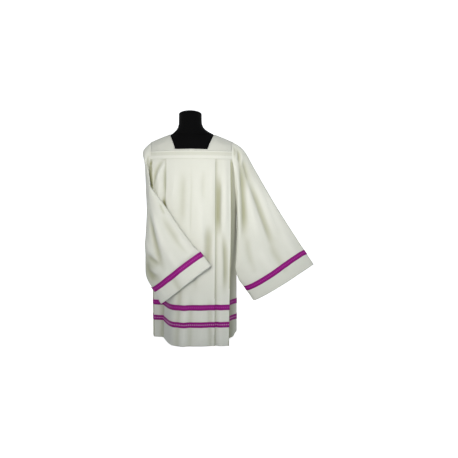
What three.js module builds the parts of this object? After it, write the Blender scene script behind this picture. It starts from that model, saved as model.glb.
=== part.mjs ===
// A pleated surplice worn by a limbless dress form on a short stand.
// Millimetres, +Z up. The origin is the centre of the stand's base, on the floor.
// -Y is the front of the garment and +X is the garment's own left hand side as seen from the front.
// The left hand sleeve (-X) is folded across the front, the right hand sleeve (+X) is held out.

import * as THREE from "three";

const { Vector3, BufferGeometry, Float32BufferAttribute, MeshStandardMaterial, Mesh, Group } = THREE;
const { lerp, degToRad, clamp } = THREE.MathUtils;

// ---------------------------------------------------------------- driving dimensions

const HEM_Z = 8; // the hem hangs this far above the floor
const NECK_POINT_Z = 947; // where the shoulder seam meets the neckline
const BAND_TOP_Z = 866;
const BAND_BOTTOM_Z = 838;
const UNDERARM_Z = 600;

const CLOTH = 1.4; // thickness of the cloth wall
const HALF = CLOTH / 2;
const SEAM_GAP = 0.3;
const SEAM_HALF = SEAM_GAP / 2 + 0.05;
const SIDE_SEAM_HALF = 0.6; // the side seams leave room for the ribbons that cross them
const BAND_GAP = 0.45; // between the yoke and the chest band, whose edges lean differently
/** Along X, between body and sleeve: edge to edge at the top, and face to face at the underarm. */
const ARMHOLE_GAPS = { top: 0.7, underarm: 2.1 };
const BAND_PROUD = 0.6; // how far the chest band stands out of the yoke
const TRIM_LIFT = 0.3; // air under a ribbon
const TRIM = 0.8; // thickness of ribbon and binding

const NECK_TOP_HALF = 98; // half the neckline's width at the shoulder
const NECK_BOTTOM_HALF = 69;
const NECK_FRONT_Z = 876;
const NECK_BACK_Z = 902;
const BINDING_WIDTH = 6;

const CHEST_DEPTH = 95; // from the shoulder line to the chest band, front and back
const CHEST_HALF_WIDTH = 215; // where the chest curve would close
const SHOULDER_SLOPE = 0.34;
const SHOULDER_DROOP = 0.0007;
const ARMHOLE_X = 187; // at the shoulder tip
const ARMHOLE_TUCK = 6; // the armhole's edge runs in by this much at the chest band

const RIBBON_WIDTH = 24;
const LOWER_RIBBON_Z = HEM_Z + 82; // lower edge of the ribbon near the hem
const UPPER_RIBBON_Z = HEM_Z + 158;
const CUFF_RIBBON_FROM = 56; // from the cuff's edge to the ribbon's near edge

const COLOURS = { cloth: 0xe4e4da, ribbon: 0x8c1a80, form: 0x0d0d0e, steel: 0x2a2a2c };

// ---------------------------------------------------------------- small helpers

const vec = (x, y, z) => new Vector3(x, y, z);
const mix = (a, b, t) => a.clone().lerp(b, t);
const easeOut = (t) => Math.sin((t * Math.PI) / 2);
const easeBoth = (t) => t * t * (3 - 2 * t);

/** Point at t on the Catmull-Rom piece from b to c. */
function catmull(a, b, c, d, t) {
  const along = (k) => {
    const [p, q, r, s] = [a, b, c, d].map((v) => v[k]);
    const [bend, twist] = [2 * p - 5 * q + 4 * r - s, 3 * q - p - 3 * r + s];
    return 0.5 * (2 * q + (r - p) * t + bend * t ** 2 + twist * t ** 3);
  };
  return vec(along("x"), along("y"), along("z"));
}

/** Reads a table sorted by falling z: the value of each named column at height z, on straight pieces. */
function readTable(table, z, columns) {
  let k = 0;
  while (k < table.length - 2 && z < table[k + 1].z) k += 1;
  const t = clamp((table[k].z - z) / (table[k].z - table[k + 1].z), 0, 1);
  return columns.map((name) => lerp(table[k][name], table[k + 1][name], t));
}

/** Offset direction at each point of a grid, longer at folds so that the sheet keeps its distance. */
function offsets(grid, closed) {
  const rows = grid.length;
  const cols = grid[0].length;
  const MITRE_LIMIT = 1.6;
  return grid.map((row, j) => {
    const up = grid[Math.max(j - 1, 0)];
    const down = grid[Math.min(j + 1, rows - 1)];
    const faceNormal = (i) => {
      const a = closed ? (i + cols) % cols : i;
      const b = closed ? (i + 1 + cols) % cols : i + 1;
      const along = row[b].clone().sub(row[a]);
      const across = down[a].clone().sub(up[a]).add(down[b].clone().sub(up[b]));
      return across.cross(along).normalize();
    };
    return row.map((_, i) => {
      const before = closed || i > 0 ? faceNormal(i - 1) : faceNormal(i);
      const after = closed || i < cols - 1 ? faceNormal(i) : faceNormal(i - 1);
      const sum = before.clone().add(after);
      const scale = 1 / Math.max(1 + before.dot(after), 1e-3);
      const length = Math.min(sum.length() * scale, MITRE_LIMIT);
      return sum.normalize().multiplyScalar(length);
    });
  });
}

/** A closed BufferGeometry from points and faces, turned so that its faces point out. */
function solid(points, faces) {
  let volume = 0;
  for (const [a, b, c] of faces) {
    volume += points[a].dot(points[b].clone().cross(points[c])) / 6;
  }
  const index = volume > 0 ? faces.flat() : faces.flatMap(([a, b, c]) => [a, c, b]);
  const geometry = new BufferGeometry();
  geometry.setAttribute("position", new Float32BufferAttribute(points.flatMap((p) => p.toArray()), 3));
  geometry.setIndex(index);
  geometry.computeVertexNormals();
  return geometry;
}

/**
 * A cloth wall over the rows first to last of a grid, between two distances from it along its offsets.
 * A trim takes the same grid as the cloth that it lies on, so the two follow each other exactly.
 */
function wall(grid, distances, { closed = false, first = 0, last = grid.length - 1 } = {}) {
  const rows = last - first + 1;
  const cols = grid[0].length;
  const away = offsets(grid, closed);
  const points = [];
  for (const distance of distances) {
    for (let j = first; j <= last; j += 1) {
      points.push(...grid[j].map((p, i) => p.clone().addScaledVector(away[j][i], distance)));
    }
  }
  const at = (side, j, i) => side * rows * cols + j * cols + (i % cols);
  const faces = [];
  const quad = (a, b, c, d) => faces.push([a, b, c], [a, c, d]);
  const spans = closed ? cols : cols - 1;
  for (let j = 0; j < rows - 1; j += 1) {
    for (let i = 0; i < spans; i += 1) {
      quad(at(0, j, i), at(0, j, i + 1), at(0, j + 1, i + 1), at(0, j + 1, i));
      quad(at(1, j, i), at(1, j + 1, i), at(1, j + 1, i + 1), at(1, j, i + 1));
    }
  }
  for (let i = 0; i < spans; i += 1) {
    quad(at(0, 0, i), at(1, 0, i), at(1, 0, i + 1), at(0, 0, i + 1));
    quad(at(0, rows - 1, i), at(0, rows - 1, i + 1), at(1, rows - 1, i + 1), at(1, rows - 1, i));
  }
  for (let j = 0; j < rows - 1 && !closed; j += 1) {
    quad(at(0, j, 0), at(0, j + 1, 0), at(1, j + 1, 0), at(1, j, 0));
    quad(at(0, j, cols - 1), at(1, j, cols - 1), at(1, j + 1, cols - 1), at(0, j + 1, cols - 1));
  }
  return solid(points, faces);
}

/** A closed solid through rings of equally many points, capped by a fan at each end. */
function stack(rings) {
  const count = rings[0].length;
  const points = rings.flat();
  const faces = [];
  for (let j = 0; j < rings.length - 1; j += 1) {
    for (let i = 0; i < count; i += 1) {
      const [a, b] = [j * count + i, j * count + ((i + 1) % count)];
      faces.push([a, b, b + count], [a, b + count, a + count]);
    }
  }
  for (const [ring, turned] of [[0, true], [rings.length - 1, false]]) {
    const centre = points.length;
    points.push(rings[ring].reduce((sum, p) => sum.add(p), vec(0, 0, 0)).divideScalar(count));
    for (let i = 0; i < count; i += 1) {
      const [a, b] = [ring * count + i, ring * count + ((i + 1) % count)];
      faces.push(turned ? [centre, b, a] : [centre, a, b]);
    }
  }
  return solid(points, faces);
}

// ---------------------------------------------------------------- the shoulders

/** Height of the shoulder line above x. */
function ridge(x) {
  const out = Math.abs(x) - NECK_TOP_HALF;
  return NECK_POINT_Z - SHOULDER_SLOPE * out - SHOULDER_DROOP * out * Math.abs(out);
}

/** Distance from the shoulder line's plane to the chest band at x. */
const chestAt = (x) => CHEST_DEPTH * Math.sqrt(1 - (x / CHEST_HALF_WIDTH) ** 2);

/** A point on the shoulders: the seam at angle 0, the chest band at 90 degrees. side is -1 in front. */
function shoulder(x, angle, side) {
  const rise = (ridge(x) - BAND_BOTTOM_Z) * Math.cos(angle);
  return vec(x, side * (chestAt(x) * Math.sin(angle) + SEAM_HALF), BAND_BOTTOM_Z + rise);
}

/** The angle at which the shoulders pass through height z above x. */
const angleAt = (x, z) => Math.acos(clamp((z - BAND_BOTTOM_Z) / (ridge(x) - BAND_BOTTOM_Z), -1, 1));

/** x of the armhole's edge on the yoke. */
const armholeX = (angle) => ARMHOLE_X - ARMHOLE_TUCK * Math.sin(angle);

/** The armhole below the chest band: x on each hand, and its depth in front and behind. */
const ARMHOLE = [
  { z: 838, depth: 51.3, right: 181, left: 181 },
  { z: 800, depth: 57, right: 188, left: 186 },
  { z: 760, depth: 59, right: 193, left: 188 },
  { z: 700, depth: 57, right: 196, left: 188 },
  { z: 645, depth: 43, right: 199, left: 187 },
  { z: 612, depth: 20, right: 202, left: 186 },
  { z: UNDERARM_Z, depth: 0.2, right: 203, left: 185 },
];

/** Angles of the yoke's columns, closer together where the shoulder is sharpest. */
const SEAM_STEPS = [0, 5, 14, 25, 38, 52, 71].map(degToRad);

/** The yoke's two edges from shoulder seam to shoulder seam, as x and angle, for one side of the body. */
function yokeEdges(neckZ) {
  const neckAngle = angleAt(NECK_BOTTOM_HALF, neckZ);
  const last = SEAM_STEPS.length - 1;
  const half = SEAM_STEPS.map((step) => {
    const angle = (step / SEAM_STEPS[last]) * neckAngle;
    const share = (1 - Math.cos(angle)) / (1 - Math.cos(neckAngle));
    const outerAngle = (step / SEAM_STEPS[last]) * angleAt(ARMHOLE_X - ARMHOLE_TUCK, BAND_TOP_Z + BAND_GAP);
    return {
      inner: { x: lerp(NECK_TOP_HALF, NECK_BOTTOM_HALF, share), angle },
      outer: { x: armholeX(outerAngle), angle: outerAngle },
    };
  });
  const FRONT_STEPS = 6;
  for (let k = 1; k <= FRONT_STEPS; k += 1) {
    const t = 1 - k / FRONT_STEPS;
    const [inX, outX] = [NECK_BOTTOM_HALF * t, half[last].outer.x * t];
    half.push({
      inner: { x: inX, angle: angleAt(inX, neckZ) },
      outer: { x: outX, angle: angleAt(outX, BAND_TOP_Z + BAND_GAP) },
    });
  }
  const other = half.slice(0, -1).reverse();
  const flip = ({ inner, outer }) => ({
    inner: { x: -inner.x, angle: inner.angle },
    outer: { x: -outer.x, angle: outer.angle },
  });
  return [...half, ...other.map(flip)];
}

/** A grid over the yoke between two shares of the way from neckline to outer edge. */
function yokeGrid(side, neckZ, shares) {
  const edges = yokeEdges(neckZ);
  return shares.map((share) =>
    edges.map(({ inner, outer }) => {
      const t = typeof share === "function" ? share(inner, outer) : share;
      return shoulder(lerp(inner.x, outer.x, t), lerp(inner.angle, outer.angle, t), side);
    }),
  );
}

/** The share of the way out at which the binding's width ends. */
function bindingShare(side) {
  return (inner, outer) => {
    const a = shoulder(inner.x, inner.angle, side);
    const b = shoulder(outer.x, outer.angle, side);
    return Math.min(0.3, BINDING_WIDTH / a.distanceTo(b));
  };
}

/** The chest band: a straight strip below the yoke, from armhole to armhole. */
function bandGrid(side) {
  const COLUMNS = 18;
  return [BAND_TOP_Z, lerp(BAND_TOP_Z, BAND_BOTTOM_Z, 0.45), BAND_BOTTOM_Z].map((z) =>
    Array.from({ length: COLUMNS + 1 }, (_, i) => {
      const reach = ARMHOLE_X - ARMHOLE_TUCK;
      const x = reach * Math.sin((i / COLUMNS - 0.5) * Math.PI) * -1;
      return shoulder(x, angleAt(x, z), side);
    }),
  );
}

// ---------------------------------------------------------------- the pleated body

// One row for each station across the cloth, at three heights: the chest band, the underarm and the hem.
// fold is the width of cloth tucked back under the station's edge, towards the centre.
// share, in place of topX, is how far the station lies from the outer pleat to the armhole.
const FRONT_STATIONS = {
  right: [
    { topX: 0, midX: 0, midY: -126, hemX: -5, hemY: -140 },
    { topX: 36, midX: 36, midY: -126, hemX: 30, hemY: -137 },
    { topX: 74, midX: 74, midY: -123, hemX: 68, hemY: -135 },
    { topX: 109, midX: 110, midY: -118, hemX: 104, hemY: -131, fold: 24 },
    { topX: 144, midX: 146, midY: -114, hemX: 136, hemY: -130 },
    { topX: 176, midX: 178, midY: -103, hemX: 167, hemY: -127, fold: 20 },
    { share: 0.34, midX: 190, midY: -62, hemX: 154, hemY: -40 },
    { share: 0.67, midX: 199, midY: -28, hemX: 171, hemY: 24 },
  ],
  left: [
    { topX: 0, midX: 0, midY: -126, hemX: -5, hemY: -140 },
    { topX: -36, midX: -36, midY: -127, hemX: -57, hemY: -138 },
    { topX: -74, midX: -74, midY: -123, hemX: -96, hemY: -98 },
    { topX: -109, midX: -110, midY: -114, hemX: -136, hemY: 16, fold: 24 },
    { topX: -144, midX: -142, midY: -107, hemX: -159, hemY: 37 },
    { topX: -176, midX: -170, midY: -96, hemX: -180, hemY: 45, fold: 18 },
    { share: 0.34, midX: -177, midY: -60, hemX: -180, hemY: 60 },
    { share: 0.67, midX: -182, midY: -28, hemX: -183, hemY: 68 },
  ],
};
const BACK_STATIONS = {
  right: [
    { topX: 0, midX: 0, midY: 112, hemX: 0, hemY: 121 },
    { topX: 36, midX: 36, midY: 113, hemX: 38, hemY: 122 },
    { topX: 74, midX: 74, midY: 108, hemX: 76, hemY: 119 },
    { topX: 109, midX: 110, midY: 102, hemX: 112, hemY: 118, fold: 24 },
    { topX: 144, midX: 146, midY: 96, hemX: 150, hemY: 114 },
    { topX: 176, midX: 178, midY: 82, hemX: 186, hemY: 110, fold: 18 },
    { share: 0.34, midX: 190, midY: 54, hemX: 195, hemY: 98 },
    { share: 0.67, midX: 199, midY: 28, hemX: 200, hemY: 84 },
  ],
  left: [
    { topX: 0, midX: 0, midY: 112, hemX: 0, hemY: 121 },
    { topX: -36, midX: -36, midY: 113, hemX: -38, hemY: 120 },
    { topX: -74, midX: -74, midY: 108, hemX: -74, hemY: 121 },
    { topX: -109, midX: -110, midY: 102, hemX: -110, hemY: 116, fold: 24 },
    { topX: -144, midX: -142, midY: 96, hemX: -142, hemY: 114 },
    { topX: -176, midX: -170, midY: 82, hemX: -171, hemY: 110, fold: 18 },
    { share: 0.34, midX: -178, midY: 54, hemX: -180, hemY: 98 },
    { share: 0.67, midX: -183, midY: 28, hemX: -184, hemY: 84 },
  ],
};
/** Where the side seams reach the hem. */
const SIDE_SEAM_HEM = { right: { x: 200, y: 64 }, left: { x: -184, y: 77 } };

const BODY_ROWS = [
  BAND_BOTTOM_Z - SEAM_GAP, 800, 760, 700, 645, 612, UNDERARM_Z, 540, 460, 380, 300, 240,
  UPPER_RIBBON_Z + RIBBON_WIDTH, UPPER_RIBBON_Z, LOWER_RIBBON_Z + RIBBON_WIDTH, LOWER_RIBBON_Z, HEM_Z,
];

/** Spacing of the layers in a pleat at height z: under the edge, and beneath that. */
const layerSpacing = (z) => {
  const t = (BAND_BOTTOM_Z - z) / (BAND_BOTTOM_Z - HEM_Z);
  return [lerp(2.6, 4, t), lerp(2.8, 6, t)];
};

/** How far z lies from the upper height to the lower, from 0 to 1. */
const down = (z, upper, lower) => clamp((upper - z) / (upper - lower), 0, 1);

/** A station's place at height z: on the chest's curve at the band, then down to the underarm and the hem. */
function stationAt(row, side, z) {
  const t = down(z, BAND_BOTTOM_Z, UNDERARM_Z);
  const topY = side * (chestAt(row.topX) + SEAM_HALF);
  const upper = vec(lerp(row.topX, row.midX, t), lerp(topY, row.midY, easeOut(t)), z);
  return z >= UNDERARM_Z ? upper : lowerStation(row, z);
}

/** A station's place below the underarm. */
function lowerStation(row, z) {
  const t = easeBoth(down(z, UNDERARM_Z, HEM_Z));
  return vec(lerp(row.midX, row.hemX, t), lerp(row.midY, row.hemY, t), z);
}

/** The place of a station beyond the outer pleat: on the line to the armhole, then out to its own place. */
function sideStation(row, pleat, hand, side, z) {
  if (z < UNDERARM_Z) return lowerStation(row, z);
  const between = (height) => mix(stationAt(pleat, side, height), panelEdge(hand, side, height), row.share);
  const own = vec(row.midX, row.midY, UNDERARM_Z).sub(between(UNDERARM_Z));
  return between(z).addScaledVector(own, down(z, BAND_BOTTOM_Z, UNDERARM_Z) ** 2);
}

/** The edge of a panel at height z: the armhole above the underarm, the side seam below it. */
function panelEdge(hand, side, z) {
  const sign = hand === "right" ? 1 : -1;
  if (z >= UNDERARM_Z) {
    const [x, depth] = readTable(ARMHOLE, z, [hand, "depth"]);
    return vec(sign * x, side * (depth + SEAM_HALF), z);
  }
  const t = easeBoth((UNDERARM_Z - z) / (UNDERARM_Z - HEM_Z));
  const hem = SIDE_SEAM_HEM[hand];
  const underarmX = sign * ARMHOLE[ARMHOLE.length - 1][hand];
  return vec(lerp(underarmX, hem.x, t), lerp(0, hem.y, t) + side * SIDE_SEAM_HALF, z);
}

/** Half of a body section from the centre out to the seam, with its pleats. */
function halfSection(stations, hand, side, z) {
  const pleat = stations.findLast((row) => row.fold);
  const place = (row) => (row.share ? sideStation(row, pleat, hand, side, z) : stationAt(row, side, z));
  const line = [...stations.map(place), panelEdge(hand, side, z)];
  const [under, beneath] = layerSpacing(z);
  const points = [];
  stations.forEach((row, k) => {
    const here = line[k];
    if (!row.fold) {
      points.push(here);
      return;
    }
    const along = here.clone().sub(line[k - 1]).normalize();
    const inward = vec(-along.y, along.x, 0);
    if (inward.y * side > 0) inward.negate();
    const layer = (back, deep) => here.clone().addScaledVector(along, -back).addScaledVector(inward, deep);
    const put = (back, deep) => points.push(layer(back, deep));
    const TIP = 0.6;
    put(0, 0);
    put(-TIP * under, under / 2);
    put(0, under);
    put(row.fold, under);
    put(row.fold + TIP * beneath, under + beneath / 2);
    put(row.fold, under + beneath);
    put(0, under + beneath);
  });
  points.push(line[line.length - 1]);
  return points;
}

/** The grid of a body panel, from the right hand seam round to the left. */
function bodyGrid(table, side, rows) {
  return rows.map((z) => {
    const right = halfSection(table.right, "right", side, z);
    const left = halfSection(table.left, "left", side, z);
    return [...right.reverse(), ...left.slice(1)];
  });
}

// ---------------------------------------------------------------- the sleeves

const RING_HALF = 10; // steps from the top fold to the underarm seam, on each face

/** The armhole as a ring of points, from the shoulder tip down the front and up the back. */
function armholeRing(hand) {
  const sign = hand === "right" ? 1 : -1;
  const yokeSteps = [0, 22.5, 45, 67.5, 90].map(degToRad);
  const gap = (k) => lerp(ARMHOLE_GAPS.top, ARMHOLE_GAPS.underarm, (k / RING_HALF) ** 2);
  const half = (side) => {
    const upper = yokeSteps.map((angle) => shoulder(armholeX(angle), angle, side));
    const lower = ARMHOLE.slice(1).map((row) => vec(row[hand], side * (row.depth + SEAM_HALF), row.z));
    return [...upper, ...lower].map((p, k) => vec(sign * (p.x + gap(k)), k % RING_HALF ? p.y : 0, p.z));
  };
  return [...half(-1), ...half(1).slice(1, RING_HALF).reverse()];
}

/** A ring through its top, front, low and back points, bowed out along the axis at the front by bow. */
function ring({ top, front, low, back }, axis, bow = 0) {
  const [t, f, l, b] = [top, front, low, back].map((p) => vec(...p));
  const centre = mix(t, l, 0.5);
  return Array.from({ length: 2 * RING_HALF }, (_, k) => {
    const turn = (Math.PI * k) / RING_HALF;
    const [c, s] = [Math.cos(turn), Math.sin(turn)];
    return centre
      .clone()
      .addScaledVector((c >= 0 ? t : l).clone().sub(centre), Math.abs(c))
      .addScaledVector((s >= 0 ? f : b).clone().sub(centre), Math.abs(s))
      .addScaledVector(axis, bow * Math.abs(s));
  });
}

// The sleeve that is held out: its top fold, its underarm seam, and half its thickness in the middle.
const RIGHT_SECTIONS = [
  { topX: 217, topZ: 890, lowX: 207, lowZ: 562, half: 61 },
  { topX: 243, topZ: 859, lowX: 209, lowZ: 512, half: 62 },
  { topX: 278, topZ: 797, lowX: 210, lowZ: 466, half: 60 },
  { topX: 326, topZ: 713, lowX: 209, lowZ: 424, half: 55 },
  { topX: 379, topZ: 623, lowX: 207, lowZ: 384, half: 49 },
  { topX: 430, topZ: 542, lowX: 207, lowZ: 336, half: 43 },
  { topX: 476, topZ: 470, lowX: 221, lowZ: 290, half: 39 },
];
const RIGHT_CUFF = { topX: 557, topZ: 348, lowX: 286, lowZ: 188, half: 35 };
const RIGHT_SLEEVE_Y = -4;

// The sleeve that is folded across the front: the four sides of each section, from the armhole to the cuff.
const LEFT_SECTIONS = [
  { top: [-224, -3, 868], front: [-196, -82, 744], low: [-192, -16, 594], back: [-206, 56, 735] },
  { top: [-216, -10, 812], front: [-181, -104, 726], low: [-190, -50, 606], back: [-205, 30, 700] },
  { top: [-209, -25, 700], front: [-193, -99, 690], low: [-181, -106, 662], back: [-187, -73, 672] },
  { top: [-201, -50, 565], front: [-191, -109, 634], low: [-164, -124, 700], back: [-185, -91, 630] },
  { top: [-203, -76, 420], front: [-180, -146, 522], low: [-102, -149, 621], back: [-166, -121, 520] },
  { top: [-200, -95, 318], front: [-140, -168, 426], low: [-45, -165, 530], back: [-126, -132, 424] },
  { top: [-174, -112, 262], front: [-86, -182, 356], low: [20, -175, 445], back: [-78, -143, 353] },
];
const LEFT_CUFF = {
  top: [-126, -145, 193],
  front: [-22, -196, 282],
  low: [90, -184, 368],
  back: [-17, -156, 280],
};
const CUFF_BOW = { left: 3, right: 3 };

/** The four sides of a section of the sleeve that is held out. */
function rightSection({ topX, topZ, lowX, lowZ, half }) {
  const middle = [(topX + lowX) / 2, (topZ + lowZ) / 2];
  return {
    top: [topX, RIGHT_SLEEVE_Y, topZ],
    front: [middle[0], RIGHT_SLEEVE_Y - half, middle[1]],
    low: [lowX, RIGHT_SLEEVE_Y, lowZ],
    back: [middle[0], RIGHT_SLEEVE_Y + half, middle[1]],
  };
}

/** The rings of a sleeve, eased between its sections, with two rings at the edges of the cuff's ribbon. */
function sleeveRings(hand, sections, cuff) {
  const last = sections[sections.length - 1];
  const middle = ({ top, low }) => mix(vec(...top), vec(...low), 0.5);
  const axis = middle(cuff).sub(middle(last)).normalize();
  const cuffRing = ring(cuff, axis, CUFF_BOW[hand]);
  const shifted = (distance) => cuffRing.map((p) => p.clone().addScaledVector(axis, -distance));
  const inner = sections.map((row) => ring(row, axis));
  const main = [armholeRing(hand), ...inner, shifted(CUFF_RIBBON_FROM + RIBBON_WIDTH)];
  const rings = [];
  for (let j = 0; j < main.length - 1; j += 1) {
    rings.push(main[j]);
    const [a, d] = [main[Math.max(j - 1, 0)], main[Math.min(j + 2, main.length - 1)]];
    rings.push(main[j].map((p, k) => catmull(a[k], p, main[j + 1][k], d[k], 0.5)));
  }
  return [...rings, main[main.length - 1], shifted(CUFF_RIBBON_FROM), cuffRing];
}

// ---------------------------------------------------------------- the dress form and its stand

const FORM_POINTS = 32;
const FORM_HALF_WIDTH = 180;
const FORM_CHEST = 90;
const FORM_CLEARANCE = 1.45; // from the cloth's middle down to the form along the shoulder line
const SHOULDER_ROUND_FROM = 150;
const SHOULDER_ROUND = 18;

const TORSO = [
  { z: BAND_BOTTOM_Z, width: 180, front: 90, back: 90, power: 2 },
  { z: 790, width: 172, front: 98, back: 94, power: 2.1 },
  { z: 730, width: 162, front: 103, back: 96, power: 2.2 },
  { z: 640, width: 146, front: 90, back: 88, power: 2.3 },
  { z: 560, width: 138, front: 80, back: 84, power: 2.3 },
  { z: 460, width: 134, front: 70, back: 84, power: 2.3 },
  { z: 390, width: 126, front: 58, back: 80, power: 2.3 },
  { z: 362, width: 120, front: 52, back: 76, power: 2.3 },
  { z: 352, width: 108, front: 42, back: 66, power: 2.3 },
];
const NECK = [
  { z: 948, centre: 0, width: 92, depth: 62 },
  { z: 957, centre: -2, width: 81, depth: 59 },
  { z: 968, centre: -5, width: 67, depth: 57 },
  { z: 979, centre: -6.5, width: 58, depth: 55.5 },
  { z: 994, centre: -7.5, width: 53, depth: 54.5 },
  { z: 1014, centre: -7.5, width: 52, depth: 54 },
  { z: 1038, centre: -7.5, width: 52, depth: 54 },
];
const NECK_CAP = { bottom: 1038.3, edge: 1044, top: 1057, centre: -7.5, radiusX: 52, radiusY: 54 };
const BASE = { radius: 100, height: 10 };
const POST_RADIUS = 13;

/** A closed ring at height z, with its own reach in front and behind. */
function ovalRing(z, width, front, back, power, centre = 0) {
  return Array.from({ length: FORM_POINTS }, (_, k) => {
    const turn = (2 * Math.PI * k) / FORM_POINTS;
    const bend = (v) => Math.sign(v) * Math.abs(v) ** (2 / power);
    const reach = Math.sin(turn) < 0 ? front : back;
    return vec(centre + width * bend(Math.cos(turn)), reach * bend(Math.sin(turn)), z);
  });
}

/** Height of the form's shoulder line above x, under the yoke and rounded off at the tip. */
function formRidge(x) {
  const past = Math.max(0, (Math.abs(x) - SHOULDER_ROUND_FROM) / (FORM_HALF_WIDTH - SHOULDER_ROUND_FROM));
  return ridge(x) - FORM_CLEARANCE - SHOULDER_ROUND * past ** 3;
}

/** A ring of the form's shoulders at height z. */
function shoulderRing(z) {
  let width = FORM_HALF_WIDTH;
  while (width > 1 && formRidge(width) < z) width -= 0.05;
  return Array.from({ length: FORM_POINTS }, (_, k) => {
    const turn = (2 * Math.PI * k) / FORM_POINTS;
    const x = width * Math.cos(turn);
    const chest = FORM_CHEST * Math.sqrt(Math.max(0, 1 - (x / FORM_HALF_WIDTH) ** 2));
    const height = clamp((z - BAND_BOTTOM_Z) / (formRidge(x) - BAND_BOTTOM_Z), 0, 1);
    const depth = k % (FORM_POINTS / 2) ? chest * Math.sqrt(1 - height ** 2) : 0;
    return vec(x, Math.sign(Math.sin(turn)) * depth, z);
  });
}

/** The torso with its neck, from the flat underside to the neck's flat top. */
function torso() {
  const rows = [...TORSO].reverse().slice(0, -1);
  const trunk = rows.map((r) => ovalRing(r.z, r.width, r.front, r.back, r.power));
  const shoulders = [BAND_BOTTOM_Z, 862, 884, 898, 908, 917, 926, 934, 940, 944.3].map(shoulderRing);
  const neck = NECK.map((r) => ovalRing(r.z, r.width, r.depth, r.depth, 2, r.centre));
  return stack([...trunk, ...shoulders, ...neck]);
}

/** The domed cap on the neck. */
function neckCap() {
  const { bottom, edge, top, centre, radiusX, radiusY } = NECK_CAP;
  const domeRings = [0, 25, 50, 72].map(degToRad).map((angle) => {
    const out = 0.55 + 0.45 * Math.cos(angle);
    const z = lerp(edge, top, Math.sin(angle));
    return ovalRing(z, radiusX * out, radiusY * out, radiusY * out, 2, centre);
  });
  const low = ovalRing(bottom, radiusX, radiusY, radiusY, 2, centre);
  return stack([low, ...domeRings, ovalRing(top, 14, 15, 15, 2, centre)]);
}

/** A round disc or post between two heights. */
const round = (radius, low, high) => stack([low, high].map((z) => ovalRing(z, radius, radius, radius, 2)));

// ---------------------------------------------------------------- assembly

const MATERIALS = {
  cloth: new MeshStandardMaterial({ color: COLOURS.cloth, roughness: 0.85, metalness: 0 }),
  ribbon: new MeshStandardMaterial({ color: COLOURS.ribbon, roughness: 0.5, metalness: 0 }),
  form: new MeshStandardMaterial({ color: COLOURS.form, roughness: 0.8, metalness: 0 }),
  steel: new MeshStandardMaterial({ color: COLOURS.steel, roughness: 0.45, metalness: 0.6 }),
};

const surplice = new Group();

function add(name, geometry, finish) {
  const mesh = new Mesh(geometry, MATERIALS[finish]);
  mesh.name = name;
  surplice.add(mesh);
}

const inCloth = [-HALF, HALF];
const onCloth = [HALF + TRIM_LIFT, HALF + TRIM_LIFT + TRIM];

function addSide(word, side, neckZ, stations) {
  const trim = turned(side, onCloth);
  const yoke = yokeGrid(side, neckZ, [0, bindingShare(side), 0.4, 0.7, 1]);
  add(`yoke_${word}`, wall(yoke, inCloth), "cloth");
  add(`neck_binding_${word}`, wall(yoke, trim, { last: 1 }), "cloth");
  add(`chest_band_${word}`, wall(bandGrid(side), turned(side, [-HALF, HALF + BAND_PROUD])), "cloth");
  const body = bodyGrid(stations, side, BODY_ROWS);
  add(`body_${word}`, wall(body, inCloth), "cloth");
  for (const [level, z] of [["upper", UPPER_RIBBON_Z], ["lower", LOWER_RIBBON_Z]]) {
    const last = BODY_ROWS.indexOf(z);
    add(`hem_ribbon_${level}_${word}`, wall(body, trim, { first: last - 1, last }), "ribbon");
  }
}

/** Distances along a grid's offsets, which point to +Y: out of the back, and turned round for the front. */
function turned(side, [low, high]) {
  return side > 0 ? [low, high] : [-high, -low];
}

addSide("front", -1, NECK_FRONT_Z, FRONT_STATIONS);
addSide("back", 1, NECK_BACK_Z, BACK_STATIONS);

const sleeves = {
  right: sleeveRings("right", RIGHT_SECTIONS.map(rightSection), rightSection(RIGHT_CUFF)),
  left: sleeveRings("left", LEFT_SECTIONS, LEFT_CUFF),
};
for (const [hand, rings] of Object.entries(sleeves)) {
  const trim = turned(hand === "right" ? -1 : 1, onCloth);
  const last = rings.length - 2;
  add(`sleeve_${hand}`, wall(rings, inCloth, { closed: true }), "cloth");
  add(`cuff_ribbon_${hand}`, wall(rings, trim, { closed: true, first: last - 1, last }), "ribbon");
}

add("form_torso", torso(), "form");
add("form_neck_cap", neckCap(), "form");
add("stand_post", round(POST_RADIUS, BASE.height + SEAM_GAP, TORSO[TORSO.length - 1].z - SEAM_GAP), "steel");
add("stand_base", round(BASE.radius, 0, BASE.height), "steel");

export default surplice;
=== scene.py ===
"""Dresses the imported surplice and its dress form: cloth, ribbons, form, light and camera.

The tables below are in millimetres and repeat the sizes of the part's source. Meshes are in metres.
-Y is the front of the garment. The right hand sleeve (+X) is held out, the left one is folded across.
"""

import logging
import math
from dataclasses import dataclass, field, replace
from enum import Enum
from typing import Sequence

import bmesh
import bpy
import numpy as np
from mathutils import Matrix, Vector


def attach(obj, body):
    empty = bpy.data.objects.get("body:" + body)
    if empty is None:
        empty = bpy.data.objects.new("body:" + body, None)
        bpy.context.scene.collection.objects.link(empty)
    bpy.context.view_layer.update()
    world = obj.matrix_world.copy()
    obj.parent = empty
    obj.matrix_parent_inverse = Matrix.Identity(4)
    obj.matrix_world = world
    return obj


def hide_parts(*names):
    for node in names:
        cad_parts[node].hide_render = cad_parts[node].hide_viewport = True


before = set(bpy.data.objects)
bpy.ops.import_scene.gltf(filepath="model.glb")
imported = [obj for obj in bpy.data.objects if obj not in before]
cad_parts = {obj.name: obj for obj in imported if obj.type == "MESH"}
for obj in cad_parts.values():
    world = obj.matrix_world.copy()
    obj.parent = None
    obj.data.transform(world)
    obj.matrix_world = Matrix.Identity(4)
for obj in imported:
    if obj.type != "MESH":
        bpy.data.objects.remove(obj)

LOG = logging.getLogger("surplice")
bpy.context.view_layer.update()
MM = 0.001
RGB = tuple[float, float, float]
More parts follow.
